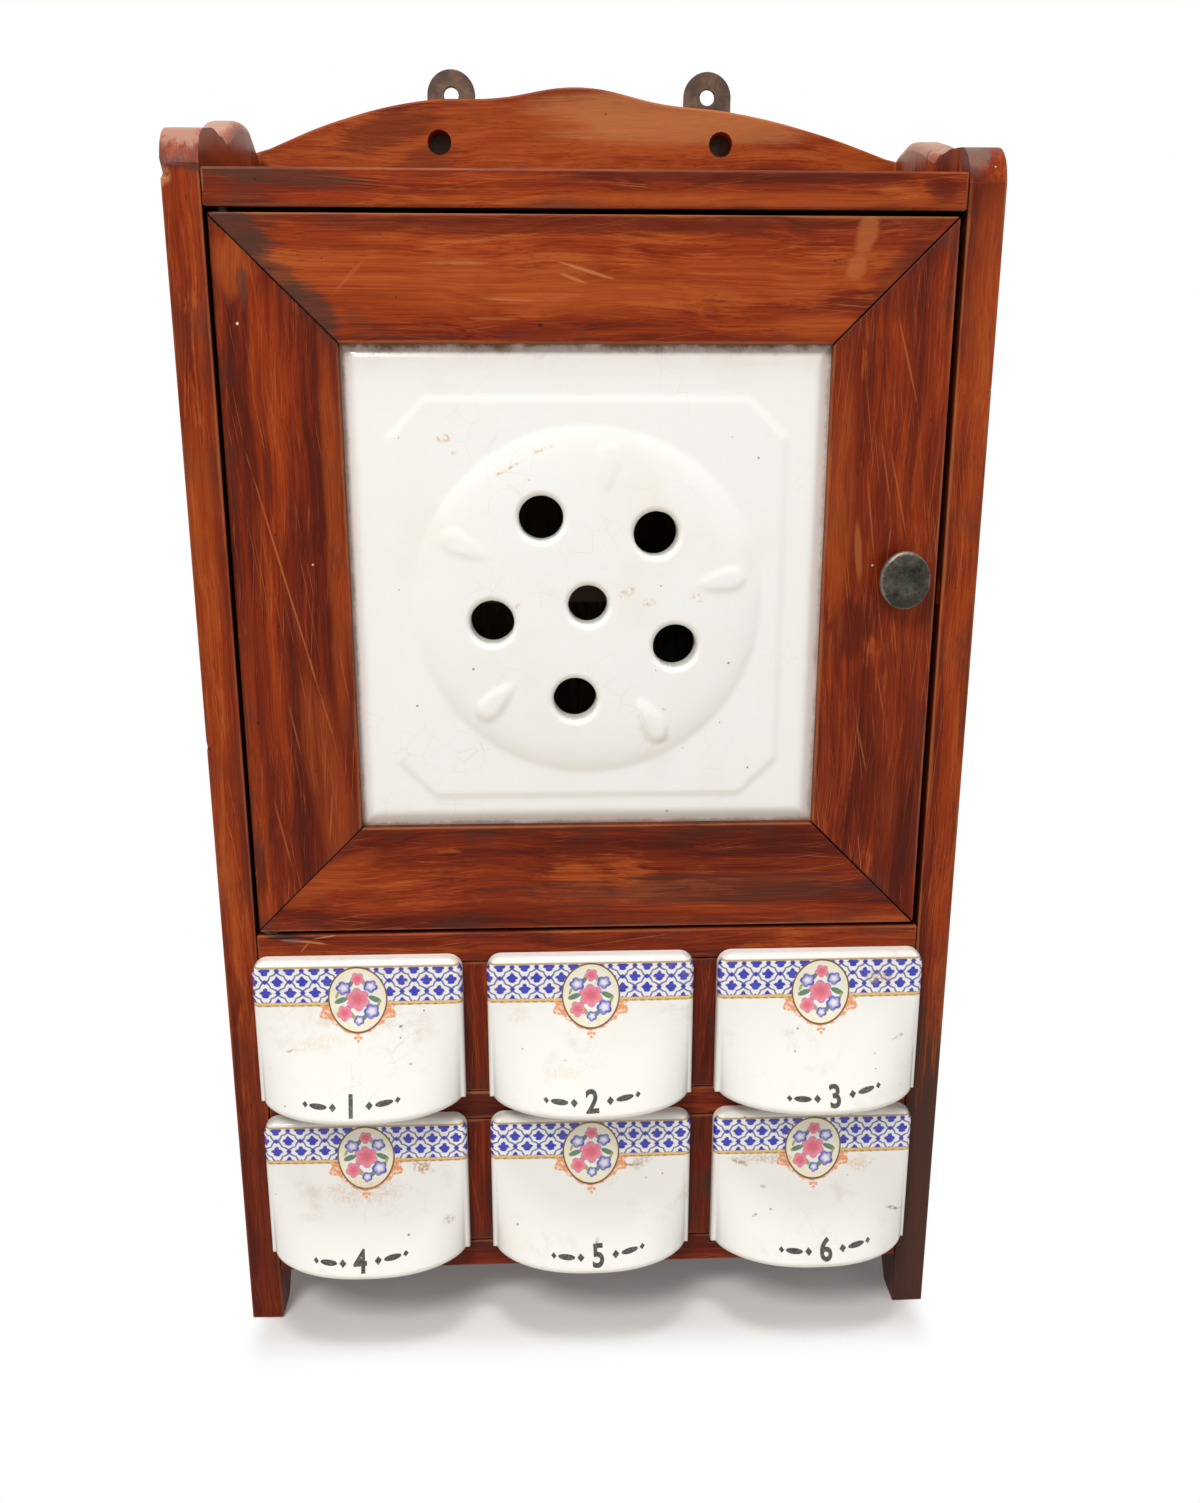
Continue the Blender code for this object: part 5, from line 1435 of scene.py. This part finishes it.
def makeKnob(shape):
    low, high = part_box("knob")
    middle = (low + high) / 2
    half = (high.z - low.z) / 2 / mm
    front = shape["standoff"] + shape["thickness"]
    profile = [(0.0, front)]
    for step in range(1, 13):
        share = step / 12 * shape["face"]
        profile.append((half * share, front - shape["dome"] * share ** 3))
    rim = front - shape["dome"]
    for step in range(1, 8):
        turn = math.pi * step / 8
        bulge = half * (shape["face"] + (1 - shape["face"]) * math.sin(turn))
        profile.append((bulge, rim - (rim - shape["standoff"]) * (1 - math.cos(turn)) / 2))
    profile += [
        (half * 0.90, shape["standoff"]),
        (shape["neck"] * 1.5, shape["standoff"] - 0.3),
        (shape["neck"] * 1.1, shape["standoff"] - 1.2),
        (shape["neck"], shape["standoff"] - 2.4),
        (shape["neck"], shape["gap"]),
        (shape["bore"], shape["gap"]),
        (shape["bore"], shape["gap"] + shape["grip"]),
        (0.0, shape["gap"] + shape["grip"]),
    ]
    bm = spun(profile, shape["steps"])
    squeeze = (high.x - low.x) / (high.z - low.z)
    for vert in bm.verts:
        radius = math.hypot(vert.co.x, vert.co.y)
        if radius > shape["neck"] * 1.01:
            vert.co.x *= 1 - (1 - squeeze) * smoothStep(radius, shape["neck"], half * 0.9)
        onFace = smoothStep(vert.co.z, front - 2, front)
        vert.co.z += noise.noise(vert.co / 4.0) * shape["wear"] * onFace
    standUp(bm, (middle.x, frontPlane, middle.z), 90)
    material = brassMaterial(middle, (half * squeeze, half))
    placePiece("knob_turned", bm, material, "knob", ["knob"], sharp=50)


makeKnob(knobShape)
print("knob made")

screwShape = {
    "head": 3.0,
    "headHeight": 1.6,
    "shank": 1.3,
    "length": 8.0,
    "slot": 0.8,
    "slotDepth": 0.8,
}


def makeScrew(node, shape, material, turn):
    low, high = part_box(node)
    profile = [(0.0, shape["headHeight"])]
    for step in range(1, 9):
        share = math.sin(math.pi / 2 * step / 8)
        dome = 0.25 + 0.75 * math.cos(math.pi / 2 * step / 8)
        profile.append((shape["head"] * share, shape["headHeight"] * dome))
    profile += [(shape["head"], 0.0), (shape["shank"], 0.0), (shape["shank"], -shape["length"] * 0.7)]
    profile.append((0.0, -shape["length"]))
    bm = spun(profile, 40)
    tool = bmesh.new()
    height = shape["slotDepth"] + 1.0
    place = Matrix.Translation((0, 0, shape["headHeight"] - shape["slotDepth"] + height / 2))
    place = place @ Matrix.Diagonal((shape["head"] * 3, shape["slot"], height, 1.0))
    bmesh.ops.create_cube(tool, size=1.0, matrix=place)
    bm = carve(bm, tool)
    bmesh.ops.rotate(bm, cent=(0, 0, 0), matrix=Matrix.Rotation(turn, 3, "Z"), verts=bm.verts)
    seat = Vector(((low.x + high.x) / 2, high.y - shape["headHeight"] * mm, (low.z + high.z) / 2))
    standUp(bm, seat, -90)
    placePiece(node + "_slotted", bm, material, bodyOf[node], [node], sharp=40)


lugEdges = {"ease": 0.35, "shortest": 0.8}  # millimetres


def makeIronwork():
    strap = ironMaterial("lug_iron", 0.04, 3.0)
    plain = ironMaterial("latch_iron", -0.06, 7.0)
    for side in ("left", "right"):
        node = f"hanging_lug_{side}"
        bm = copyNode(node)
        weighEdges(bm, lambda edge: 1.0, shortest=lugEdges["shortest"] * mm)
        piece = placePiece(node + "_forged", bm, strap, bodyOf[node], [node])
        easeEdges(piece, lugEdges["ease"] * mm, 2)
    screws = [node for node in frame["nodes"] if "_screw_" in node]
    for index, node in enumerate(sorted(screws)):
        makeScrew(node, screwShape, plain, 0.6 + 1.9 * index)
    for node in ("latch_bolt", "latch_cover", "latch_spindle"):
        paintNode(node, plain)
    oily = ironMaterial("pivot_iron", -0.25, 11.0)
    for node in ("pivot_pin_bottom", "pivot_pin_top", "pivot_washer"):
        paintNode(node, oily)


makeIronwork()
print("ironwork made")


# stage and light
stageSettings = {
    "floorSize": 8.0,
    "floorDrop": 0.3,      # below the feet, in mm
    "floorColour": (0.80, 0.78, 0.76, 1.0),
    "shadowShare": 0.90,   # of the floor's own shading that the camera sees beside the cabinet
    "shadowKept": (139.0, 58.0),  # half sizes of the floor that keeps it all, in mm
    "shadowReach": (0.0, 26.0),  # millimetres beyond over which the floor turns white
    "ambient": 0.30,
    "aim": (0.0, 0.0, 0.25),
    "lamps": [             # name, place, size, watts, colour
        ("key", (-0.55, -1.25, 1.60), 0.5, 20.5, (1.0, 0.985, 0.96)),
        ("fill", (1.2, -1.5, 0.9), 1.6, 5.0, (0.97, 0.98, 1.0)),
        ("top", (-0.1, -0.35, 1.9), 0.4, 11.5, (1.0, 1.0, 1.0)),
    ],
}


def seenOrMirrored(start):
    rays = ("Is Camera Ray", "Is Glossy Ray", "Is Transmission Ray")
    camera, glossy, through = start.node("LightPath", None, None, rays)
    return camera.most(glossy).most(through)


def makeFloor(settings):
    bm = bmesh.new()
    bmesh.ops.create_grid(bm, x_segments=1, y_segments=1, size=settings["floorSize"] / 2)
    mesh = bpy.data.meshes.new("floor")
    bm.to_mesh(mesh)
    bm.free()
    mesh.transform(Matrix.Translation((0, 0, -settings["floorDrop"] * mm)))
    floor = bpy.data.objects.new("floor", mesh)
    scene.collection.objects.link(floor)
    material, start, place = newMaterial("white_floor")
    x, y = place.axes()[:2]
    keptX, keptY = settings["shadowKept"]
    beyondX = (abs(x) - keptX).most(0)
    beyondY = (abs(y) - keptY).most(0)
    far = start.vector(beyondX * 2, beyondY, 0.0).length().rise(*settings["shadowReach"])
    glow = start.node("Emission", None, {"Color": (1, 1, 1, 1), "Strength": 1.0})
    matt = start.node("BsdfDiffuse", None, {"Color": settings["floorColour"]})
    share = seenOrMirrored(start) * (1 - (1 - far) * settings["shadowShare"])
    mixed = start.node("MixShader", None, {0: share, 1: matt, 2: glow})
    start.node("OutputMaterial", None, {"Surface": mixed})
    mesh.materials.append(material)


def makeSky(settings):
    world = bpy.data.worlds.new("studio")
    scene.world = world
    world.use_nodes = True
    world.node_tree.nodes.clear()
    start = Value(world.node_tree)
    strength = seenOrMirrored(start) * (1 - settings["ambient"]) + settings["ambient"]
    sky = start.node("Background", None, {"Color": (1, 1, 1, 1), "Strength": strength})
    start.node("OutputWorld", None, {"Surface": sky})


def makeLamps(settings):
    target = Vector(settings["aim"])
    for name, place, size, watts, colour in settings["lamps"]:
        data = bpy.data.lights.new(name, "AREA")
        data.size = size
        data.energy = watts
        data.color = colour
        lamp = bpy.data.objects.new(name, data)
        lamp.location = place
        lamp.rotation_euler = (target - Vector(place)).to_track_quat("-Z", "Y").to_euler()
        scene.collection.objects.link(lamp)


makeFloor(stageSettings)
makeSky(stageSettings)
makeLamps(stageSettings)
print("stage lit")
